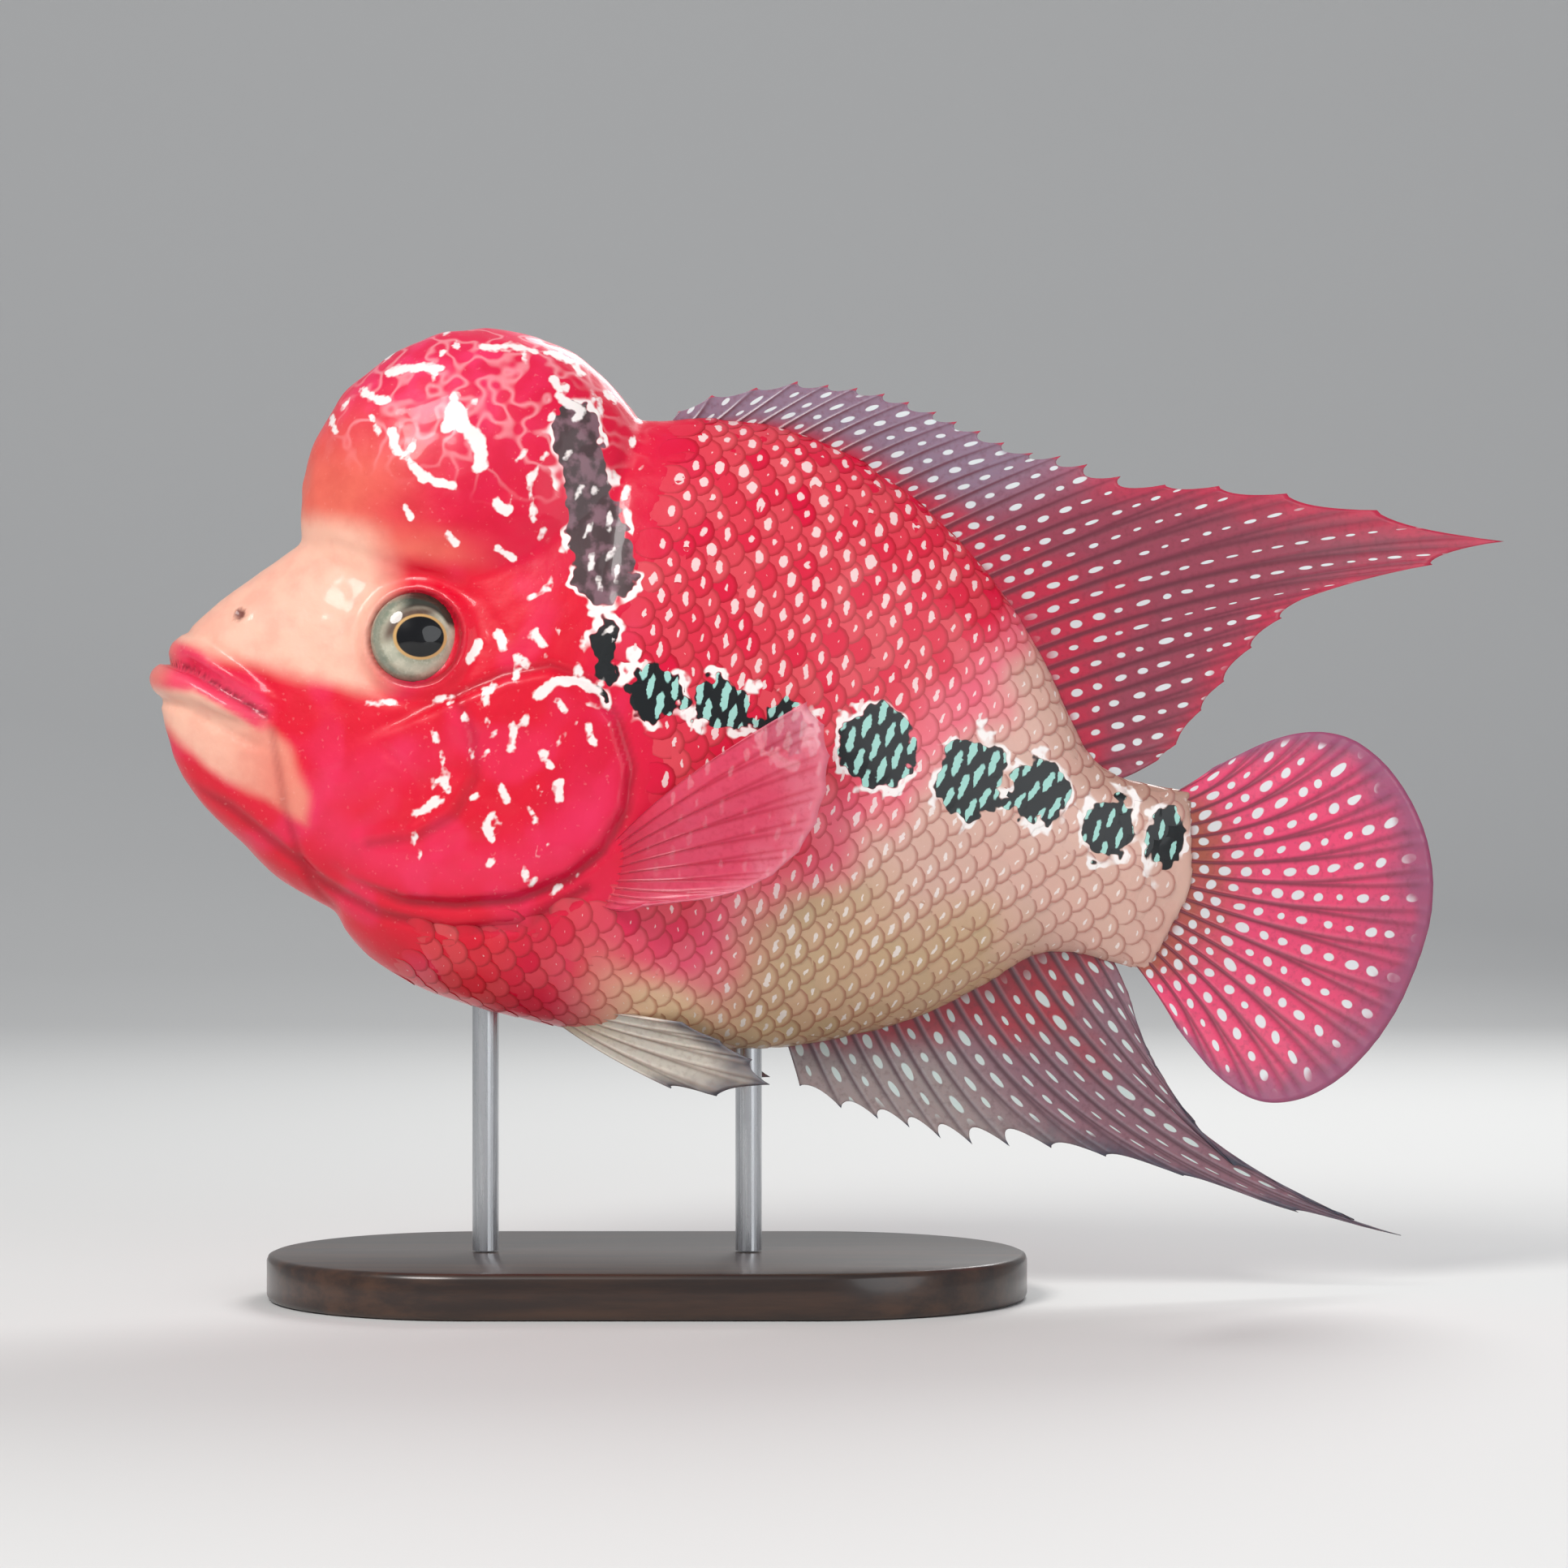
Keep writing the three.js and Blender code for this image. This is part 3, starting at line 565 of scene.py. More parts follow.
# %% [markdown]
# Black blotches run along the flank and a brown band lies behind the hump. Their edges are sharp,
# and colours kept on points would blur between the points. What is kept instead is the distance to
# the edge, which the material cuts at zero, so the edge is crisp however wide apart the points lie.
# %% Blotches
# Blotches: centre x, z, half length, half height, lean
BLOTCHES = [
    (86.6, 22.6, 2.4, 6.6, 0.25), (97.5, 18.2, 5.2, 5.4, 0), (110.5, 19.2, 6, 5, 0.1),
    (123.8, 17.6, 4.6, 5.2, 0.1), (141.8, 18.6, 7.2, 8, 0), (161, 16.8, 6.3, 8.6, 0),
    (175, 17.6, 5.8, 6.4, 0), (190.6, 14.6, 4.9, 6.6, 0), (202, 14.6, 3.8, 6.2, 0),
]
BROWN_ABOVE = 26
NAPE_BAND = [(69.4, 65), (72.6, 58.5), (76.6, 51), (80.6, 43.5), (82.6, 38)]
NAPE_BAND_WIDE = 4.4
FAR_OUTSIDE = -30.0


def off_middle(co):
    """How far points are from the fish's middle plane, where no mark crosses over."""
    return np.abs(co[:, 1] - tail_bend(co[:, 0]))


def ink_of(co):
    """Millimetres inside a dark mark, below zero outside."""
    x, z = co[:, 0], co[:, 2]
    best = np.full(len(co), FAR_OUTSIDE)
    for cx, cz, wide, high, lean in BLOTCHES:
        u = (x - cx + lean * (z - cz)) / wide
        v = (z - cz) / high
        best = np.maximum(best, (1 - np.hypot(u, v)) * min(wide, high))
    band = NAPE_BAND_WIDE + 1.3 * smoothstep(54, 44, z) - to_line(x, z, NAPE_BAND)
    return np.where(off_middle(co) > 0.3, np.maximum(best, band), FAR_OUTSIDE)


print("blotches:", len(BLOTCHES))

# %% [markdown]
# Pearls are white or bluish spots and strokes in the skin. The large ones are the fish's own
# handwriting and are placed one by one. The small ones have no order, so a seeded die scatters
# them, and the same die falls the same way each time.
# %% Pearls
# Pearl strokes: a line and its half width
PEARLS = [
    ([(45.8, 64), (48.4, 60), (52.6, 57), (54, 52.6)], 1.35), ([(46.6, 62.4), (46.2, 59)], 1.5),
    ([(27.8, 61.8), (31, 60.2), (33.4, 60.8)], 0.8), ([(32, 66.6), (36, 68.4), (41, 69.4)], 0.9),
    ([(48, 75.6), (54, 77.4), (58, 77.6)], 0.6), ([(61, 78), (66, 77.4), (68, 75.6)], 0.7),
    ([(35.6, 55), (36.8, 52.4), (40.1, 50.4), (44.3, 47.6)], 0.75),
    ([(40.1, 50.4), (40.4, 54.4)], 0.6), ([(44.3, 47.8), (50.1, 47.4)], 0.7),
    ([(59, 46.6), (61, 45.4)], 1), ([(61.6, 38), (64.6, 36.6)], 0.7),
    ([(51.6, 38.2), (53.4, 37)], 0.7), ([(42, 41), (43.4, 39.8)], 0.6),
    ([(63.4, 73), (66, 69.6), (70, 68)], 0.8), ([(73.6, 73), (75.8, 71.6)], 0.6),
    ([(22.4, 55.6), (24, 53)], 0.5), ([(30.8, 57), (33.4, 54)], 0.45),
    ([(66, 58), (64, 52), (66.6, 45)], 0.5), ([(76, 12.4), (79, 16), (83.6, 16.8), (87, 15.8)], 0.9),
    ([(65.4, 22), (67, 19.6)], 0.8), ([(72.6, 23.6), (74.6, 21.8)], 0.8),
    ([(70.6, 18.6), (72.4, 17)], 0.7), ([(65.6, 10.4), (66.8, 8.2)], 0.7),
    ([(73, 5.4), (73.4, 1.2)], 0.8), ([(79.6, 1.6), (81.8, -0.4)], 0.7),
    ([(73.4, -6.6), (74.8, -8.6)], 0.7), ([(72.4, -14.6), (74.2, -17)], 0.8),
    ([(58.6, -15.6), (62.8, -12)], 0.5), ([(61.6, -8), (64, -9.6)], 0.5),
    ([(80, -9.2), (81.2, -11.4)], 0.6), ([(87, 8.6), (88.6, 6)], 0.7), ([(80, 12), (81.8, 10.4)], 0.6),
    ([(77.6, 47.6), (77, 44.4)], 0.45), ([(80.4, 50), (81, 46.6)], 0.45),
    ([(82.6, 43.6), (82.4, 40.6)], 0.5), ([(79, 40.8), (79.6, 38.4)], 0.45),
    ([(74, 53.6), (73.6, 51)], 0.4), ([(84.6, 40), (85, 37.2)], 0.45),
    ([(81.6, 37), (82.6, 35)], 0.45), ([(58, 1), (59, -1)], 0.5), ([(84, -3), (85, -6)], 0.6),
    ([(44, 2.6), (49, 4.2)], 0.5), ([(56.6, 6.6), (59.6, 8)], 0.5), ([(61.6, 15.6), (62.4, 19.4)], 0.6),
]
# Areas with scattered small pearls: from x, to x, from z, to z, how many
SCATTER = [(70, 88, 14, 34, 16), (58, 92, -24, 12, 30), (60, 84, 40, 76, 22), (24, 60, 58, 78, 12)]
die = np.random.default_rng(11)
DOTS = [
    (die.uniform(x0, x1), die.uniform(z0, z1), die.uniform(0.25, 0.65), die.uniform(-0.6, 0.6))
    for x0, x1, z0, z1, count in SCATTER for _ in range(count)
]


def pearl_of(co):
    """Millimetres inside a white stroke, below zero outside."""
    x, z = co[:, 0], co[:, 2]
    best = np.full(len(co), FAR_OUTSIDE)
    for line, wide in PEARLS:
        best = np.maximum(best, wide - to_line(x, z, line))
    for dot_x, dot_z, wide, lean in DOTS:
        away = np.hypot((x - dot_x) + lean * (z - dot_z), 0.55 * (z - dot_z))
        best = np.maximum(best, wide - away)
    return np.where(off_middle(co) > 0.3, best, FAR_OUTSIDE)


def paint(mesh, co):
    store(mesh, "tint", tint_of(co))
    store(mesh, "ink", ink_of(co))
    store(mesh, "pearl", pearl_of(co))
    x, z = co[:, 0], co[:, 2]
    store(mesh, "brown", smoothstep(BROWN_ABOVE, BROWN_ABOVE + 8, z))
    store(mesh, "net", smoothstep(44, 58, z) * smoothstep(88, 66, x) * smoothstep(20, 30, x))


paint(skin.data, points_of(skin.data))
print("pearls:", len(PEARLS), "strokes and", len(DOTS), "dots")

# %% [markdown]
# Scales lie in staggered rows like roof tiles, each with its front edge under the one ahead, and
# the head has none. A scatter of points would overlap at random. Here the rows are counted from
# the lateral line by the distance over the skin, which keeps them even on back and belly.
# %% Where the scales grow
SCALE_STEP = 4.7
ROW_STEP = 3.55
SCALES_FROM = 50
SCALES_TO = 203
ROWS_BELOW = 26
ROWS_ABOVE = 23
HEAD_EDGE = curve([
    (-60, 60), (-38, 62), (-33, 76), (-27, 90), (-19, 98), (-5, 102), (6, 100), (14, 96), (19, 90),
    (30, 88), (45, 88), (80, 88),
])


def rows_at(x, side):
    """Lines over the skin at x, up and down from the lateral line, with the distance along them."""
    begin = math.acos(0.34)
    found = []
    for stop in (0.05, math.pi - 0.05):
        line = np.array([section(x, side * a) for a in np.linspace(begin, stop, 60)])
        gone = np.concatenate([[0], np.cumsum(np.linalg.norm(np.diff(line, axis=0), axis=1))])
        found.append((gone, line))
    return found


def row_point(rows, distance):
    gone, line = rows[0 if distance > 0 else 1]
    if abs(distance) > gone[-1]:
        return None
    return Vector([float(np.interp(abs(distance), gone, line[:, k])) for k in range(3)])


def seats():
    found = []
    for side in (-1, 1):
        for half_column in range(int(2 * (SCALES_TO - SCALES_FROM) / SCALE_STEP)):
            x = SCALES_FROM + half_column * SCALE_STEP / 2
            rows = rows_at(x, side)
            ahead = rows_at(x - 1, side)
            for row in range(-ROWS_BELOW, ROWS_ABOVE + 1):
                if (row + half_column) % 2:
                    continue
                spot = row_point(rows, row * ROW_STEP)
                before = row_point(ahead, row * ROW_STEP)
                if spot is None or before is None or x < HEAD_EDGE(spot.z) + 0.5:
                    continue
                found.append((spot, (spot - before).normalized(), side))
    return found


scale_seats = seats()
print("scales", len(scale_seats))

# %% [markdown]
# One scale is a thin round plate, blunt behind. A flat card would be cheaper but has no edge to
# catch the light. A circle is filled, inset, poked and made solid, and all scales are copies of it.
# %% One scale
RIM_POINTS = 14


def scale_plate():
    """One plate of radius 1, whose rear edge is at x = 1."""
    bm = bmesh.new()
    bmesh.ops.create_circle(bm, cap_ends=True, segments=RIM_POINTS, radius=1)
    bmesh.ops.inset_region(bm, faces=list(bm.faces), thickness=0.3, depth=0)
    bmesh.ops.poke(bm, faces=[f for f in bm.faces if len(f.verts) > 4])
    bmesh.ops.solidify(bm, geom=list(bm.faces), thickness=1)
    bmesh.ops.recalc_face_normals(bm, faces=bm.faces)
    return mesh_from(bm, "plate")


plate = scale_plate()
plate_co = points_of(plate)
plate_co[:, 2] = (plate_co[:, 2] > plate_co[:, 2].mean()).astype(float)
# The disc becomes a scale: blunt behind, and a little narrower in front
plate_co[:, 0] = np.sign(plate_co[:, 0]) * np.abs(plate_co[:, 0]) ** 0.9
plate_co[:, 1] *= 0.9 + 0.12 * plate_co[:, 0]
print("one plate:", len(plate_co), "points,", len(plate.polygons), "faces")

# %% [markdown]
# Scales bend with the body under them and differ a little in size, turn and lift. Instances would
# stay flat, so each copy's points are dropped onto the skin one by one. Each scale keeps its tone
# and its own small map, from which the material draws the pearly fleck at its middle.
# %% Scales laid on the skin
SCALE_LONG = 8.2
SCALE_WIDE = 7.2
SCALE_THICK = 0.12
BAKE_PATCH = 0.0015
rng = np.random.default_rng(7)
skin_tree = BVHTree.FromPolygons(
    [v.co for v in skin.data.vertices], [tuple(p.vertices) for p in skin.data.polygons]
)


def scale_size(x, z):
    room = float(back(x) - belly(x))
    size = rng.normal(1, 0.04) * (0.72 + 0.28 * min(1, room / 90))
    return size * (0.86 if z < -34 and x < 100 else 1)


def scale_points(place, normal, rearward, size):
    """The points of one plate, bent over the skin."""
    spin = Matrix.Rotation(rng.normal(0, 0.05), 3, normal)
    along = spin @ (rearward - normal * rearward.dot(normal)).normalized()
    over = normal.cross(along)
    lift = rng.normal(0, 0.015)
    for u, v, w in plate_co:
        flat = place + along * (u * SCALE_LONG / 2 * size) + over * (v * SCALE_WIDE / 2 * size)
        under, under_normal, _, _ = skin_tree.find_nearest(flat)
        dome = 0.05 * (1 - min(1, u * u + v * v))
        height = 0.05 + 0.13 * u + dome + lift - (SCALE_THICK if w < 0.5 else 0)
        yield under + under_normal * height


def scale_marks(x, z):
    """How strong and how slim the fleck of a scale is, and the scale's tone."""
    upper = smoothstep(20, 60, z) * smoothstep(175, 120, x)
    fleck = rng.uniform(0.45, 1.05) * (1 if rng.random() < 0.8 else 0.2)
    fleck *= 1 - 0.35 * smoothstep(140, 165, x)
    fleck *= 1 - 0.85 * smoothstep(-14, -30, z) * smoothstep(128, 112, x)
    return {"tone": rng.normal(0, 1), "fleck": fleck, "slim": 1 - 0.6 * upper * rng.uniform(0.5, 1)}


def lay_scales():
    points, bake = [], []
    per_scale = {"tone": [], "fleck": [], "slim": []}
    for spot, rearward, side in scale_seats:
        place, normal, _, _ = skin_tree.find_nearest(spot)
        if place is None or (place - spot).length > 2.5:
            continue
        size = scale_size(spot.x, spot.z)
        points += scale_points(place, normal, rearward, size)
        root = ((0.02 if side < 0 else 0.52) + spot.x / 450, 0.1 + (spot.z + 55) / 170)
        bake += [(root[0] + BAKE_PATCH * u, root[1] + BAKE_PATCH * v) for u, v, _ in plate_co]
        for key, value in scale_marks(spot.x, spot.z).items():
            per_scale[key] += [value] * len(plate_co)
    return points, bake, per_scale


scale_co, scale_bake, scale_values = lay_scales()
print("scales laid:", len(scale_co) // len(plate_co))

# %% [markdown]
# The coat is one mesh, because more than a thousand objects would be slow to handle. Its colours
# come from the same functions as the skin's, so a blotch runs on over skin and scales alike. The
# map OFBake keeps every scale on a small patch at its own place.
# %% The coat of scales
def scale_coat():
    count = len(scale_co) // len(plate_co)
    bm = bmesh.new()
    for _ in range(count):
        bm.from_mesh(plate)
    for v, co in zip(bm.verts, scale_co):
        v.co = co
    mesh = mesh_from(bm, "scales")
    paint(mesh, np.array(scale_co))
    for key, values in scale_values.items():
        store(mesh, key, np.array(values))
    store(mesh, "scale_u", np.tile(plate_co[:, 0], count))
    store(mesh, "scale_v", np.tile(plate_co[:, 1], count))
    bake_map = mesh.uv_layers.new(name="OFBake")
    corners = np.empty(len(mesh.loops), int)
    mesh.loops.foreach_get("vertex_index", corners)
    bake_map.data.foreach_set("uv", np.array(scale_bake, np.float32)[corners].ravel())
    return in_scene("scales", mesh)


scales = scale_coat()
print("scale coat", len(scales.data.vertices), "points")

# %% [markdown]
# Each ray of a fin leaves its root in one direction and sweeps back to its tip. Bones or curves
# could carry it, but a curved line from root to tip is enough, and the web between two rays is
# simply the lines between theirs.
# %% Lines of the rays
def smooth_line(points, at):
    """Points of a smooth line through the given ones; at runs from 0 to the last index."""
    p = np.array(points, float)
    i = np.clip(np.floor(at).astype(int), 0, len(p) - 2)
    t = (at - i)[:, None]
    a, b = p[np.maximum(i - 1, 0)], p[i]
    c, d = p[i + 1], p[np.minimum(i + 2, len(p) - 1)]
    bent = (2 * a - 5 * b + 4 * c - d) * t**2 + (3 * b - a - 3 * c + d) * t**3
    return 0.5 * (2 * b + (c - a) * t + bent)


def spaced(points, count):
    """Evenly spaced points along a smooth line."""
    fine = smooth_line(points, np.linspace(0, len(points) - 1, 400))
    gone = np.concatenate([[0], np.cumsum(np.linalg.norm(np.diff(fine, axis=0), axis=1))])
    want = np.linspace(0, gone[-1], count)
    return np.array([[np.interp(w, gone, fine[:, k]) for k in range(fine.shape[1])] for w in want])


def headings(first, last, count):
    """Directions in the middle plane that turn evenly from one angle to another."""
    turns = [math.radians(a) for a in np.linspace(first, last, count)]
    return [(math.cos(a), 0, math.sin(a)) for a in turns]


def upright(points):
    return [(x, 0, z) for x, z in points]


print("first ray of a fan", headings(50, 30, 2)[0])

# %% [markdown]
# A fin is a thin web, thicker where a ray runs through it. A flat sheet with a picture of rays would
# look dead from the side. Here a grid is bent onto the lines of the rays and then made solid, and a
# weight on its points makes it thick at the rays and thin between them and at the tips.
# %% Fins from a grid
def web_grid(name, wide, rows):
    bm = bmesh.new()
    bmesh.ops.create_grid(bm, x_segments=wide, y_segments=rows, size=0.5)
    return mesh_from(bm, name)


def gaps(co, ray, down, rays, columns, rows):
    """How far apart the two rays beside each point are."""
    row = np.round(down * rows).astype(int)
    table = np.zeros(((rays - 1) * columns + 1, rows + 1, 3))
    table[np.round(ray * columns).astype(int), row] = co
    left = np.clip(np.floor(ray).astype(int), 0, rays - 2)
    return np.linalg.norm(table[(left + 1) * columns, row] - table[left * columns, row], axis=1)


def thicken(made, strength, thick):
    group = made.vertex_groups.new(name="rib")
    for i, value in enumerate(strength):
        group.add([i], float(value), "REPLACE")
    solid = made.modifiers.new("solid", "SOLIDIFY")
    solid.thickness = thick
    solid.offset = 0
    solid.vertex_group = "rib"
    solid.use_even_offset = False
    with_modifiers(made)


def still(ray, t):
    return 0


def fin(name, roots, tips, aims, thick, lean, notch, spines, columns, rows, sway=still, smooth=False):
    """Lean says how far a ray runs along its aim, notch how deep the margin dips between rays."""
    rays = len(tips)
    mesh = web_grid(name, (rays - 1) * columns, rows)
    grid = points_of(mesh)
    ray = np.round((grid[:, 0] + 0.5) * (rays - 1) * columns) / columns
    down = grid[:, 1] + 0.5
    dip = np.sin(np.pi * (ray - np.floor(ray))) ** 0.7 * np.where(ray < spines, 1, 0.5)
    t = down * (1 - notch * dip)
    base = smooth_line(roots, ray)
    corners = np.array(tips)
    tip = np.stack([np.interp(ray, np.arange(rays), corners[:, k]) for k in range(3)], axis=1)
    if smooth:
        tip = smooth_line(tips, ray)
    aim = smooth_line(aims, ray)
    aim /= np.linalg.norm(aim, axis=1)[:, None]
    length = np.linalg.norm(tip - base, axis=1)
    bend = base + aim * length[:, None] * lean
    part = t[:, None]
    co = (1 - part) ** 2 * base + 2 * part * (1 - part) * bend + part**2 * tip
    store(mesh, "gap", gaps(co, ray, down, rays, columns, rows))
    co[:, 1] += sway(ray, t) + tail_bend(co[:, 0])
    mesh.vertices.foreach_set("co", co.ravel())
    # Soft rays fork towards the margin, and spines stay single
    fork = np.where(ray < spines, 0, 0.17 * smoothstep(0.35, 0.95, t))
    rib = np.exp(-((np.abs(np.abs(ray - np.round(ray)) - fork) / 0.1) ** 2))
    for key, values in (("ray", ray), ("reach", t), ("along", t * length), ("rib", rib)):
        store(mesh, key, values)
    made = in_scene(name, mesh)
    thicken(made, (0.42 + 0.58 * rib) * (1 - 0.5 * t), thick)
    print(name, rays, "rays,", len(made.data.polygons), "faces")
    return made


def middle_fin(name, base, tips, first, last, **how):
    """A fin in the middle plane, whose rays head from the first angle to the last in degrees."""
    roots = spaced(upright(base), len(tips))
    return fin(name, roots, upright(tips), headings(first, last, len(tips)), **how)


print("fins can be made")

# %% [markdown]
# The dorsal fin starts with short stiff spines and ends in long soft rays that trail off in a
# streamer. The spines' tips stand out of the web, so its margin dips between them. The tips are
# measured one by one, because the outline of this fin is what the fish is known by.
# %% Dorsal fin
DORSAL_TIPS = [
    (88, 73.5), (93.6, 78.2), (101.8, 81.8), (109.4, 85), (115.5, 85.8), (121.2, 86.6),
    (126.7, 86.8), (131.8, 86.4), (137.5, 85.8), (141.9, 84.9), (146.9, 84.3), (152, 83.2),
    (158, 82.6), (163.5, 83.4), (169, 83.1), (176, 82.4), (185, 83), (195.5, 85.4), (209, 87.3),
    (227.4, 88.6), (254, 89), (240.9, 80.8), (219, 69), (214, 63), (209.6, 55.9), (205.9, 48),
    (202.9, 41.4), (199.7, 33.6), (196.6, 29.4),
]
DORSAL_BASE = [
    (85, 68), (98, 71.5), (110, 72.5), (122, 70.5), (134, 66.5), (146, 60.5), (158, 51.5),
    (169, 41), (178, 30.5), (187, 22),
]


def dorsal_sway(ray, t):
    return 1.6 * np.maximum(0, ray - 12) / 16 * t * t * np.sin(ray * 0.5)


dorsal = middle_fin(
    "dorsal", DORSAL_BASE, DORSAL_TIPS, 50, 30, thick=1.3, lean=0.5, notch=0.1, spines=16,
    columns=10, rows=44, sway=dorsal_sway,
)

# %% [markdown]
# The anal fin mirrors the dorsal one below the body, with seven spines and a streamer that hangs
# lowest of all. It is made by the same function, since only its lines differ.
# %% Anal fin
ANAL_TIPS = [
    (143.5, -50.1), (152.5, -52.4), (160.1, -52.7), (166.6, -52.9), (173.1, -53.5),
    (179.5, -53.2), (186.8, -51.8), (195, -50.2), (206, -49.3), (222, -49.4), (246.5, -51.1),
    (268, -50.8), (257.8, -49.9), (231.5, -45), (221.5, -38.6), (211, -29.6), (204.2, -20.6),
]
ANAL_BASE = [
    (138, -41), (150, -35), (162, -28.5), (174, -18.6), (184, -9.8), (190, -8.2), (195.5, -8.6),
]


def anal_sway(ray, t):
    return -1.4 * np.maximum(0, ray - 5) / 12 * t * t * np.sin(ray * 0.6)


anal = middle_fin(
    "anal", ANAL_BASE, ANAL_TIPS, -56, -44, thick=1.3, lean=0.48, notch=0.14, spines=7,
    columns=12, rows=48, sway=anal_sway,
)

# %% [markdown]
# The tail fin is a round fan with no spines and an even margin. Straight pieces between its tips
# would give it corners, so its margin is a smooth line, and a slow wave makes it look soft.
# %% Tail fin
TAIL_TIPS = [
    (208, 30.8), (217.6, 38.7), (225.9, 42.7), (233.7, 43.2), (241.1, 40.2), (247.4, 35),
    (252.6, 28.4), (256.2, 20.7), (258, 12.3), (257.9, 3.6), (256.4, -6.1), (253.3, -14.8),
    (248.2, -23), (241.1, -29), (232.8, -31.2), (223.5, -28.2), (213.5, -21),
]
TAIL_BASE = [(199.5, 22.6), (203.5, 18.5), (205, 7), (204, -5.5), (201.5, -10.2)]


def tail_sway(ray, t):
    return 1.8 * t * t * np.sin(ray * 0.75)


tail = middle_fin(
    "tail", TAIL_BASE, TAIL_TIPS, 34, -36, thick=1.25, lean=0.45, notch=0.0, spines=0,
    columns=16, rows=48, sway=tail_sway, smooth=True,
)

# %% [markdown]
# The paired fins have a left and a right one. The pectorals are clear fans that stand off the
# flanks, and the pelvics lie back along the belly. A mirror modifier would do as well, but with one
# table and a sign for the side each fin is a piece of its own, and the two can't differ by mistake.
# %% Paired fins
PECTORAL_TIPS = [
    (126.5, 23.5), (130.8, 20), (133.3, 14.5), (134.4, 8), (134, 1.5), (132, -4.8),
    (128.2, -10.3), (123, -14.6), (117, -17.6), (111, -19.8), (105.5, -21.8),
]
PECTORAL_BASE = [(97.2, -11.5), (98.2, -15.5), (98.2, -20), (97, -24)]
PECTORAL_FLARE = 7.5
PELVIC_TIPS = [
    (119, 8.5, -56), (128, 10, -55.3), (137.5, 11.6, -50.5), (133, 13.4, -46.5),
    (126, 15, -44.3), (118, 16.4, -42.6),
]
PELVIC_BASE = [
    (91.5, 4.8, -47.8), (93, 6, -47.6), (94.5, 7.4, -47.2), (96, 8.8, -46.6),
    (97.5, 10.2, -45.8), (99, 11.6, -44.8),
]


def on_side(points, side):
    return [(x, side * y, z) for x, y, z in points]


def pectoral_fin(word, side):
    roots = spaced(upright(PECTORAL_BASE), len(PECTORAL_TIPS))
    roots[:, 1] = [side * (flank(x, z) - 0.8) for x, _, z in roots]
    tips = [(x, side * (flank(x, z) + PECTORAL_FLARE), z) for x, z in PECTORAL_TIPS]
    aims = [(x, side * 0.42, z) for x, _, z in headings(62, -18, len(PECTORAL_TIPS))]
    return fin(
        f"{word}_pectoral", roots, tips, aims, thick=0.9, lean=0.42, notch=0.03, spines=0,
        columns=12, rows=30, smooth=True,
    )


def pelvic_fin(word, side):
    aims = [(x, side * 0.25, z) for x, _, z in headings(-24, 6, len(PELVIC_TIPS))]
    return fin(
        f"{word}_pelvic", on_side(PELVIC_BASE, side), on_side(PELVIC_TIPS, side), aims, thick=1.1,
        lean=0.45, notch=0.08, spines=1, columns=12, rows=30,
    )


left_pectoral, left_pelvic = pectoral_fin("left", -1), pelvic_fin("left", -1)
right_pectoral, right_pelvic = pectoral_fin("right", 1), pelvic_fin("right", 1)

# %% [markdown]
# The eye is a flattened ball that is sunk in its socket. It has a black pupil, a thin gold ring
# and a silver green iris under a clear surface. The rings could be separate pieces, but the
# ball's pole points outwards, so the distance from it is all that the material needs to draw them.
# %% Eyes
def eye(word, side):
    turn = Matrix.Rotation(side * EYE["lift"], 4, "X") @ Matrix.Rotation(-side * EYE["turn"], 4, "Z")
    deep = side * (flank(EYE["x"], EYE["z"]) - EYE["sink"])
    centre = Matrix.Translation((EYE["x"], deep, EYE["z"]))
    values = []

    def place(t, angle):
        out = math.cos(math.pi * t)
        ring = math.sin(math.pi * t)
        # The lens bulges a little at the pupil
        lens = 0.35 * smoothstep(0.55, 0.1, ring) if out > 0 else 0
        values.append((ring * math.cos(angle), ring * math.sin(angle)) if out > 0 else (1.2, 0))
        bulge = side * (EYE["bulge"] * out + lens)
        wide = EYE["radius"] * ring
        return centre @ turn @ Vector((wide * math.cos(angle), bulge, wide * math.sin(angle)))

    made = mapped_ball(f"{word}_eyeball", 72, 64, place)
    store(made.data, "eye_back", np.array(values)[:, 0])
    store(made.data, "eye_up", np.array(values)[:, 1])
    bpy.context.scene.collection.objects.link(made)
    return made


left_eye = eye("left", -1)
right_eye = eye("right", 1)
print("eyes", round(2 * EYE["radius"]), "mm across")

# %% [markdown]
# The finished model holds the fish aslant over the stand, and each object has to stay at the
# origin, unturned. So the meshes themselves are turned, once, from the fish's frame into the frame
# of the part. Then the solids that the pieces stand in for are hidden.
# %% Onto the stand
fish_pieces = [
    skin, scales, dorsal, anal, tail, left_pectoral, right_pectoral, left_pelvic, right_pelvic,
    left_eye, right_eye,
]


def shade_smooth(mesh):
    mesh.polygons.foreach_set("use_smooth", [True] * len(mesh.polygons))


for piece in fish_pieces:
    piece.data.transform(FISH)
    shade_smooth(piece.data)
    if piece is scales:
        piece.data.set_sharp_from_angle(angle=math.radians(28))
    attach(piece, "root")
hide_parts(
    "head", "lower_jaw", "upper_lip", "lower_lip", "nuchal_hump", "trunk",
    "caudal_peduncle", "left_gill_cover", "right_gill_cover",
)
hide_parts("dorsal_fin")
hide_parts("anal_fin")
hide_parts("tail_fin")
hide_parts("left_pectoral_fin")
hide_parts("right_pectoral_fin")
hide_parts("left_pelvic_fin")
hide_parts("right_pelvic_fin")
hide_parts("left_eye")
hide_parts("right_eye")
print("pieces on the stand:", len(fish_pieces))

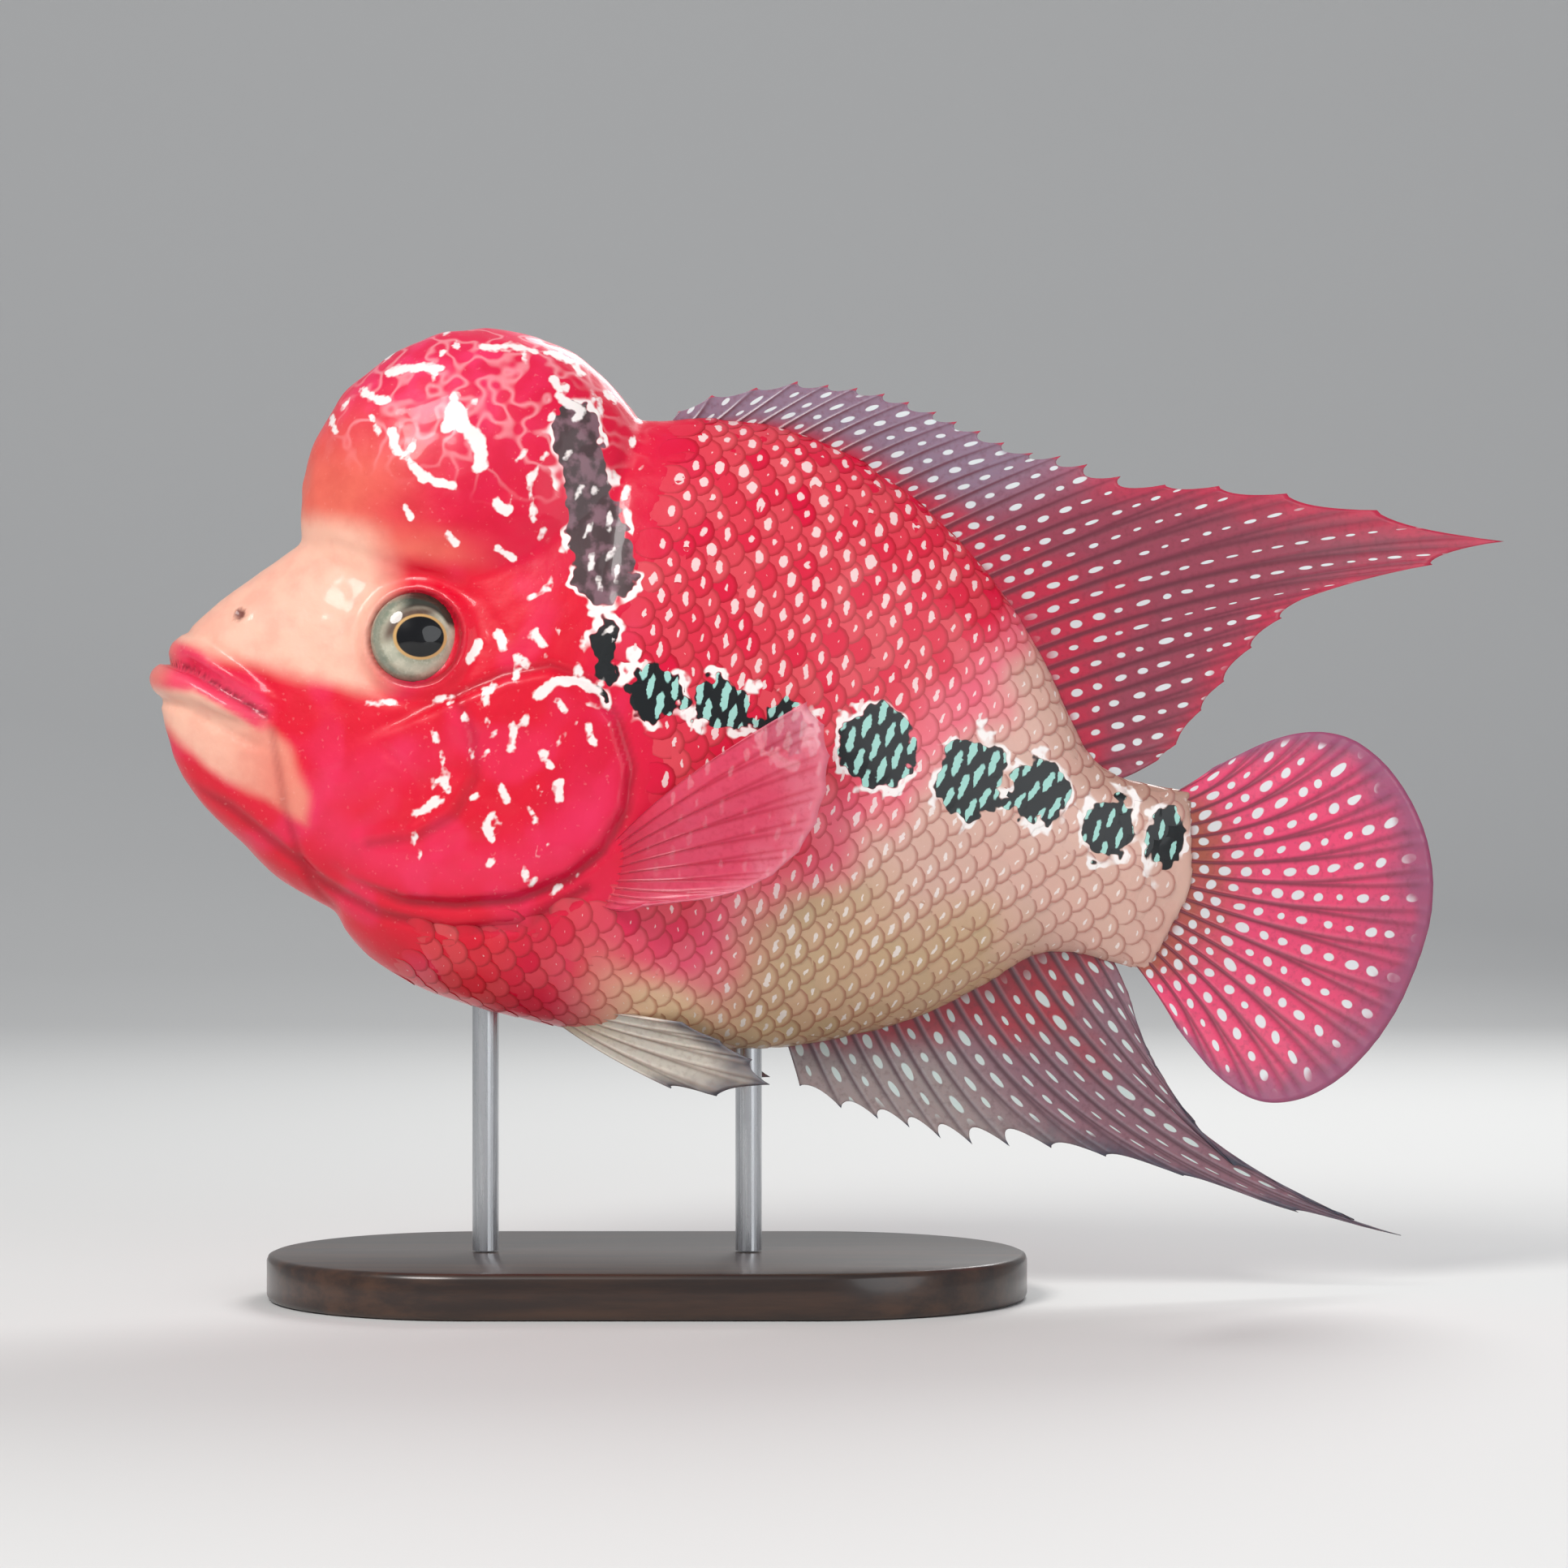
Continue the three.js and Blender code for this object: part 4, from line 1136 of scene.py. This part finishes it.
# %% [markdown]
# The finishes of skin, scales, fins and eyes are built from a few kinds of node again and again.
# They could be joined by hand in the node editor. A short helper for each kind keeps every finish
# readable as text, and a socket may be fed by another node or by a plain number.
# %% Helpers for materials
class Paint:
    def __init__(self, name):
        self.material = bpy.data.materials.new(name)
        self.material.use_nodes = True
        self.tree = self.material.node_tree
        self.shader = self.tree.nodes["Principled BSDF"]

    def feed(self, socket, value):
        if isinstance(value, bpy.types.NodeSocket):
            self.tree.links.new(value, socket)
        elif isinstance(value, (int, float)):
            socket.default_value = value
        else:
            socket.default_value = (*[float(v) for v in value][:3], 1)

    def number(self, operation, *values):
        node = self.tree.nodes.new("ShaderNodeMath")
        node.operation = operation
        for socket, value in zip(node.inputs, values):
            self.feed(socket, value)
        return node.outputs[0]

    def product(self, first, *others):
        for other in others:
            first = self.number("MULTIPLY", first, other)
        return first

    def length(self, a, b):
        squares = self.number("POWER", a, 2), self.number("POWER", b, 2)
        return self.number("SQRT", self.number("ADD", *squares))

    def step(self, value, low, high, to_low=0.0, to_high=1.0):
        node = self.tree.nodes.new("ShaderNodeMapRange")
        node.interpolation_type = "SMOOTHSTEP"
        for socket, given in zip(node.inputs, (value, low, high, to_low, to_high)):
            self.feed(socket, given)
        return node.outputs[0]

    def attribute(self, name, kind="Fac"):
        node = self.tree.nodes.new("ShaderNodeAttribute")
        node.attribute_name = name
        return node.outputs[kind]

    def place(self):
        return self.tree.nodes.new("ShaderNodeTexCoord").outputs["Object"]

    def stretched(self, scale):
        node = self.tree.nodes.new("ShaderNodeMapping")
        node.inputs["Scale"].default_value = scale
        self.feed(node.inputs["Vector"], self.place())
        return node.outputs[0]

    def noise(self, scale, detail=2.0, vector=None, rough=0.5):
        node = self.tree.nodes.new("ShaderNodeTexNoise")
        self.feed(node.inputs["Vector"], vector or self.place())
        self.feed(node.inputs["Scale"], scale)
        self.feed(node.inputs["Detail"], detail)
        self.feed(node.inputs["Roughness"], rough)
        return node.outputs["Fac"]

    def shake(self, scale, detail, amount):
        """Noise about zero."""
        return self.product(self.number("SUBTRACT", self.noise(scale, detail), 0.5), amount)

    def mix(self, share, below, above, how="MIX"):
        node = self.tree.nodes.new("ShaderNodeMix")
        node.data_type = "RGBA"
        node.blend_type = how
        self.feed(node.inputs["Factor"], share)
        self.feed(node.inputs[6], below)
        self.feed(node.inputs[7], above)
        return node.outputs[2]

    def bump(self, height, strength, distance):
        node = self.tree.nodes.new("ShaderNodeBump")
        self.feed(node.inputs["Height"], height)
        self.feed(node.inputs["Strength"], strength)
        self.feed(node.inputs["Distance"], distance)
        return node.outputs["Normal"]

    def finish(self, **values):
        for name, value in values.items():
            self.feed(self.shader.inputs[name.replace("_", " ")], value)
        return self.material


def wear(obj, material):
    obj.data.materials.clear()
    obj.data.materials.append(material)


print("helpers ready")

# %% [markdown]
# Skin and scales carry the same marks: black blotches with a broken white rim, a brown band mottled
# with rose, and white pearls. Both finishes therefore share one function, which cuts the marks from
# their stored distances and roughens the edges with noise.
# %% Marks on skin and scales
BLACK = colour("14181a")
BAND_BROWN = colour("4d3a3c")
BAND_ROSE = colour("82606a")
MINT = colour("a9e0d4")
PEARL = colour("fdf3ef")


def marked(paint, base):
    """Lays blotches and their rims over a colour. Returns it with the masks of ink and pearls."""
    ink = paint.number("ADD", paint.attribute("ink"), paint.shake(340, 1, 6))
    rim = paint.product(paint.step(ink, -1.7, -1.1), paint.step(ink, 0.2, -0.2))
    rim = paint.product(rim, paint.step(paint.noise(170, 1), 0.46, 0.54))
    base = paint.mix(rim, base, PEARL)
    dark = paint.step(ink, -0.1, 0.25)
    band = paint.mix(paint.step(paint.noise(260, 3), 0.45, 0.62), BAND_BROWN, BAND_ROSE)
    base = paint.mix(dark, base, paint.mix(paint.attribute("brown"), BLACK, band))
    pearl = paint.number("ADD", paint.attribute("pearl"), paint.shake(380, 2, 2.4))
    return base, dark, paint.step(pearl, -0.3, 0.2)


print("marks can be drawn")

# %% [markdown]
# The bare skin of the head is wet and slightly see-through, with fine pores and a pale net over the
# top of the hump. Colour alone would look like paint, so a little light goes in under the surface
# and a thin clear coat lies on it.
# %% Skin
NET_PINK = colour("ffc4c8")
PORE_PINK = colour("ffd0c8")
MOTTLE = colour("d84a50")


def skin_material():
    paint = Paint("skin")
    mottle = paint.step(paint.noise(170, 3), 0.4, 0.7, 0, 0.16)
    mottled = paint.mix(mottle, paint.attribute("tint", "Color"), MOTTLE, "MULTIPLY")
    pores = paint.step(paint.noise(1100, 1), 0.66, 0.78, 0, 0.1)
    base, dark, pearl = marked(paint, paint.mix(pores, mottled, PORE_PINK))
    # The net runs where slow noise passes its middle value
    web = paint.number("ABSOLUTE", paint.number("SUBTRACT", paint.noise(170, 1), 0.5))
    web = paint.product(paint.step(web, 0.07, 0.0), paint.attribute("net"))
    web = paint.product(web, paint.number("SUBTRACT", 1, dark), 0.42)
    base = paint.mix(web, base, NET_PINK)
    base = paint.mix(paint.product(pearl, 0.95), base, PEARL)
    height = paint.number("ADD", paint.noise(900, 3), paint.product(paint.noise(260, 2), 2))
    return paint.finish(
        Base_Color=base, Roughness=0.45, Normal=paint.bump(height, 0.16, 0.0003), Coat_Weight=0.3,
        Coat_Roughness=0.08, Subsurface_Weight=0.08, Subsurface_Scale=0.002, Specular_IOR_Level=0.3,
    )


wear(skin, skin_material())
print("skin painted")

# %% [markdown]
# A scale is a little darker round its rim, a painted shade along its edge, and carries an upright
# pale fleck, broad on the upper back and slim elsewhere. On a blotch the flecks are mint and tall,
# which gives its striped look. The fleck is drawn in each scale's own map, so it sits at the same
# place on every scale.
# %% Scales
RIM_SHADE = colour("b06058")
TONE_PALE = colour("f6b0a6")


def scale_material():
    paint = Paint("scales")
    u, v = paint.attribute("scale_u"), paint.attribute("scale_v")
    tint = paint.attribute("tint", "Color")
    tint = paint.mix(paint.step(paint.attribute("tone"), -2, 2, 0, 0.16), tint, TONE_PALE)
    # Painted shade: each scale is darkened round its rim
    rim = paint.step(paint.length(u, v), 0.74, 0.98)
    tint = paint.mix(paint.product(rim, 0.6), tint, RIM_SHADE, "MULTIPLY")
    base, dark, pearl = marked(paint, tint)
    strength = paint.number("MAXIMUM", paint.attribute("fleck"), dark)
    slim = paint.product(paint.attribute("slim"), paint.step(dark, 0, 1, 7.5, 5.6))
    off = paint.number("ADD", paint.number("SUBTRACT", u, 0.5), paint.shake(700, 2, 0.35))
    far = paint.length(paint.product(off, slim), paint.product(v, paint.step(dark, 0, 1, 2.3, 1.35)))
    fleck = paint.step(paint.number("SUBTRACT", strength, far), -0.08, 0.12)
    pale = paint.mix(0.25, PEARL, paint.attribute("tint", "Color"))
    base = paint.mix(paint.product(fleck, 0.9), base, paint.mix(dark, pale, MINT))
    base = paint.mix(paint.product(pearl, 0.9), base, PEARL)
    return paint.finish(
        Base_Color=base, Roughness=0.34, Normal=paint.bump(paint.noise(1400, 2), 0.1, 0.0002),
        Coat_Weight=0.3, Coat_Roughness=0.08, Subsurface_Weight=0.05, Subsurface_Scale=0.001,
        Specular_IOR_Level=0.3,
    )


wear(scales, scale_material())
print("scales painted")

# %% [markdown]
# The webs of the fins carry rows of pale spots between dark rays. A pattern in space would cut
# across the rays. A spot is drawn where a point is near the middle between two rays and near a
# whole number of steps along them, so the rows follow the fan however it spreads.
# %% Spots on the fins
def fin_spots(paint, reach, far, look):
    """The mask of the pale spots. Look gives their step, half width and length, and their range."""
    ray = paint.attribute("ray")
    across = paint.number("SUBTRACT", paint.number("FRACT", ray), 0.5)
    across = paint.product(across, paint.attribute("gap"))
    stagger = paint.product(paint.number("PINGPONG", paint.number("FLOOR", ray), 1.0), 0.5)
    steps = paint.number("DIVIDE", paint.attribute("along"), look["step"])
    count = paint.number("ADD", paint.number("ADD", steps, stagger), paint.shake(120, 1, 0.9))
    place = paint.number("SUBTRACT", paint.number("FRACT", count), 0.5)
    size = paint.step(paint.noise(210, 0), 0.3, 0.7, 0.75, 1.2)
    du = paint.number("DIVIDE", across, paint.product(size, look["wide"]))
    dv = paint.number("DIVIDE", paint.product(place, look["step"]), paint.product(size, look["long"]))
    spot = paint.step(paint.length(du, dv), 1.1, 0.85)
    begin, end = look["spots"]
    spot = paint.product(spot, paint.step(reach, begin - 0.04, begin + 0.04))
    return paint.product(spot, paint.step(far, end + 0.06, end - 0.06))


def fin_material(name, look):
    paint = Paint(name)
    root, middle, edge, ray_colour, spot_colour = [colour(text) for text in look["colours"]]
    reach = paint.attribute("reach")
    far = paint.number("ADD", reach, paint.shake(160, 2, 0.35))
    base = paint.mix(paint.step(far, 0.05, 0.4), root, middle)
    base = paint.mix(paint.step(far, 0.68, 1.02), base, edge)
    if "front" in look:
        front_colour, front_to = look["front"]
        share = paint.step(paint.attribute("ray"), front_to + 3.0, front_to - 1.0)
        share = paint.product(share, paint.step(reach, 0.1, 0.45))
        base = paint.mix(share, base, colour(front_colour))
    base = paint.mix(paint.step(paint.noise(900, 3), 0.45, 0.75, 0, 0.3), base, ray_colour)
    base = paint.mix(paint.product(fin_spots(paint, reach, far, look), 0.92), base, spot_colour)
    rib = paint.step(paint.attribute("rib"), 0.25, 0.8)
    base = paint.mix(paint.product(rib, 0.85), base, ray_colour)
    base = paint.mix(paint.step(reach, 0.93, 0.98), base, edge)
    return paint.finish(
        Base_Color=base, Roughness=0.38, Normal=paint.bump(paint.noise(1100, 2), 0.15, 0.0002),
        Coat_Weight=0.35, Coat_Roughness=0.15, Subsurface_Weight=0.15, Subsurface_Scale=0.002,
        Alpha=look.get("alpha", 1.0),
    )


print("spots can be drawn")

# %% [markdown]
# Every fin has its own colours, from root to margin. The dorsal goes from crimson to maroon with a
# lilac front, the tail is pink, the anal fin is grey with a red root, the pectorals are half clear
# and the pelvics pale. One table holds what differs, which makes the fins easy to compare.
# %% Colours of the fins
NO_SPOTS = {"step": 9, "wide": 0.4, "long": 0.4, "spots": (0.95, 0.2)}
# Colours: root, middle, margin, rays, spots. Front: the colour of the first rays and how many
FIN_LOOKS = {
    "dorsal": {
        "colours": ("c41840", "94384e", "bc2448", "5e1028", "dfe9ea"), "step": 4.7, "wide": 0.72,
        "long": 1.15, "spots": (0.06, 0.93), "front": ("8a7488", 13),
    },
    "anal": {
        "colours": ("a42434", "86606c", "3c4050", "4a2632", "c9dcd8"), "step": 5.4, "wide": 0.75,
        "long": 1.6, "spots": (0.06, 0.8), "front": ("958a88", 6),
    },
    "tail": {
        "colours": ("a8543c", "e84070", "9a4c70", "6a1c34", "dfe9ea"), "step": 4.5, "wide": 0.85,
        "long": 1.1, "spots": (0.08, 0.92),
    },
    "pectoral": {
        "colours": ("ee2852", "f45478", "f88ca2", "c01c44", "f6a8b0"), "alpha": 0.5, **NO_SPOTS,
    },
    "pelvic": {"colours": ("e8d2b4", "e0d6c8", "6a6a70", "a08c80", "f0e8dc"), **NO_SPOTS},
}
FINS = {
    "dorsal": [dorsal], "anal": [anal], "tail": [tail],
    "pectoral": [left_pectoral, right_pectoral], "pelvic": [left_pelvic, right_pelvic],
}
for name, look in FIN_LOOKS.items():
    fin_paint = fin_material(name, look)
    for piece in FINS[name]:
        wear(piece, fin_paint)
print("fins painted:", ", ".join(FIN_LOOKS))

# %% [markdown]
# The rings of the eye are steps along the distance from the pupil's middle: black pupil, gold ring,
# a brown shade, and the silver green iris with a dark arc at the top. They could be painted as an
# image, but steps stay sharp in any close view.
# %% Eye material
def eye_iris(paint, ring, rear, up):
    streak = paint.step(paint.noise(1300, 2), 0.45, 0.7, 0, 0.4)
    base = paint.mix(paint.step(paint.noise(420, 3), 0.35, 0.65), colour("b4ae98"), colour("8d9480"))
    base = paint.mix(streak, base, colour("d8d4c0"))
    pale = paint.product(paint.step(ring, 0.5, 0.68), paint.step(ring, 0.84, 0.74))
    base = paint.mix(paint.product(pale, 0.55), base, colour("d6d2bc"))
    base = paint.mix(paint.product(paint.step(ring, 0.8, 0.88), 0.6), base, colour("747c6c"))
    top = paint.product(paint.step(up, 0.3, 0.5), paint.step(rear, -0.75, -0.3))
    top = paint.product(top, paint.step(ring, 0.6, 0.7))
    return paint.mix(paint.product(top, 0.94), base, colour("101a14"))


def eye_material():
    paint = Paint("eye")
    rear, up = paint.attribute("eye_back"), paint.attribute("eye_up")
    base = eye_iris(paint, paint.length(rear, up), rear, up)
    # The pupil is an oval, longer than high, whose rear end is the higher one
    lean = 0.25
    across = paint.number("DIVIDE", paint.number("ADD", rear, paint.product(up, lean)), 0.53)
    upward = paint.number("DIVIDE", paint.number("SUBTRACT", up, paint.product(rear, lean)), 0.45)
    pupil = paint.length(across, upward)
    shade = paint.step(paint.number("SUBTRACT", up, rear), 0.15, 0.6)
    shade = paint.product(paint.step(pupil, 1.75, 1.25), shade, 0.85)
    base = paint.mix(shade, base, colour("4a2016"))
    base = paint.mix(paint.step(pupil, 1.17, 1.09), base, colour("d0a468"))
    base = paint.mix(paint.step(pupil, 1.03, 0.97), base, colour("030306"))
    return paint.finish(
        Base_Color=base, Roughness=0.3, Specular_IOR_Level=0.08, Coat_Weight=1.0, Coat_Roughness=0.02,
    )


eye_look = eye_material()
wear(left_eye, eye_look)
wear(right_eye, eye_look)
print("eyes painted")

# %% [markdown]
# The stand is plain: a dark wooden base under satin lacquer and two rods of brushed steel. Its form
# is already right in the solids, so copies of them are used, shaded smooth on the round sides and
# sharp at the edges.
# %% Pieces of the stand
def smooth_copy(node, name):
    bm = bmesh.new()
    bm.from_mesh(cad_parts[node].data)
    bmesh.ops.remove_doubles(bm, verts=bm.verts, dist=1e-6)
    mesh = mesh_from(bm, name)
    shade_smooth(mesh)
    mesh.set_sharp_from_angle(angle=math.radians(32))
    made = in_scene(name, mesh)
    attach(made, "root")
    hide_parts(node)
    return made


board = smooth_copy("stand_base", "base")
rods = [smooth_copy(f"stand_rod_{number}", f"rod_{number}") for number in (1, 2)]
print("pieces of the stand:", 1 + len(rods))

# %% [markdown]
# Wood grain and brush marks both run in one direction. An image of them would repeat. Noise that is
# stretched along the board or along the rod gives long uneven lines that never repeat.
# %% Wood and steel
def wood_material():
    paint = Paint("dark_wood")
    along = paint.stretched((0.08, 1, 1))
    grain = paint.noise(260, 5, along, 0.65)
    base = paint.mix(paint.step(grain, 0.35, 0.68), colour("2a1a12"), colour("4a3020"))
    broad = paint.step(paint.noise(40, 2, along), 0.4, 0.7, 0, 0.5)
    base = paint.mix(broad, base, colour("1c110c"))
    return paint.finish(
        Base_Color=base, Roughness=0.34, Normal=paint.bump(grain, 0.08, 0.0002), Coat_Weight=0.4,
        Coat_Roughness=0.15,
    )


def steel_material():
    paint = Paint("brushed_steel")
    lines = paint.noise(2600, 2, paint.stretched((1, 1, 0.03)))
    return paint.finish(
        Base_Color=colour("c4c6c9"), Metallic=1.0, Roughness=paint.step(lines, 0.3, 0.7, 0.22, 0.4),
    )


wear(board, wood_material())
steel = steel_material()
for rod in rods:
    wear(rod, steel)
print("stand painted")

# %% [markdown]
# The model stands on a pale floor that curves up behind it, as in a photographer's studio, so no
# edge of the floor shows in the picture. A plane and a wall would leave a line.
# %% Floor
FLOOR_FRONT = -2.4
FLOOR_FLAT = 3.4
FLOOR_CURVE = 0.8
FLOOR_LENGTH = 6.2
CURVE_LENGTH = FLOOR_CURVE * math.pi / 2


def sweep():
    bm = bmesh.new()
    bmesh.ops.create_grid(bm, x_segments=1, y_segments=40, size=1)
    for v in bm.verts:
        run = (v.co.y + 1) / 2 * FLOOR_LENGTH
        angle = min(max(run - FLOOR_FLAT, 0), CURVE_LENGTH) / FLOOR_CURVE
        v.co.x *= 4
        v.co.y = FLOOR_FRONT + min(run, FLOOR_FLAT) + FLOOR_CURVE * math.sin(angle)
        v.co.z = FLOOR_CURVE * (1 - math.cos(angle)) + max(0, run - FLOOR_FLAT - CURVE_LENGTH)
    mesh = mesh_from(bm, "floor")
    shade_smooth(mesh)
    return in_scene("floor", mesh)


floor = sweep()
wear(floor, Paint("floor").finish(Base_Color=colour("dcdcda"), Roughness=0.7))
print("floor", FLOOR_LENGTH, "m along")

# %% [markdown]
# A wet fish needs large soft lamps, whose reflections are broad, and one behind it that draws its
# outline. Bare points of light would leave hard white dots. The world adds an even, faint light
# from all round.
# %% Lights
def lamp(name, place, aim, size, power, tone=(1, 1, 1)):
    light = bpy.data.lights.new(name, "AREA")
    light.shape = "DISK"
    light.size = size
    light.energy = power
    light.color = tone
    made = in_scene(name, light)
    made.location = place
    made.rotation_euler = (Vector(aim) - Vector(place)).to_track_quat("-Z", "Y").to_euler()


lamp("key", (-0.5, -0.8, 0.9), (0, 0, 0.1), 0.5, 10.5, (1, 0.98, 0.96))
lamp("fill", (0.8, -0.9, 0.4), (0, 0, 0.1), 0.9, 3.5, (0.95, 0.98, 1))
lamp("edge", (0.3, 0.7, 0.7), (0, 0, 0.12), 0.5, 5)
world = bpy.data.worlds.new("studio")
world.use_nodes = True
world.node_tree.nodes["Background"].inputs["Color"].default_value = (0.9, 0.93, 1, 1)
world.node_tree.nodes["Background"].inputs["Strength"].default_value = 0.36
bpy.context.scene.world = world
# The plain view keeps strong reds as they are, where the filmic one greys them
bpy.context.scene.view_settings.view_transform = "Standard"
print("lamps", len(bpy.data.lights))

# %% [markdown]
# The fish was photographed level with its middle and square to its side, so the camera stands there
# too. A near camera would swell the head. A long lens from far off keeps the outline true.
# %% Camera
VIEW_AIM = Vector((0.027, 0, 0.1014))
VIEW_WIDE = 0.31
VIEW_FAR = 0.9
camera_data = bpy.data.cameras.new("camera")
camera_data.lens = camera_data.sensor_width * VIEW_FAR / VIEW_WIDE
camera = in_scene("camera", camera_data)
camera.location = VIEW_AIM + Vector((0, -VIEW_FAR, 0))
camera.rotation_euler = (math.pi / 2, 0, 0)
bpy.context.scene.camera = camera
print("lens", round(camera_data.lens), "mm")
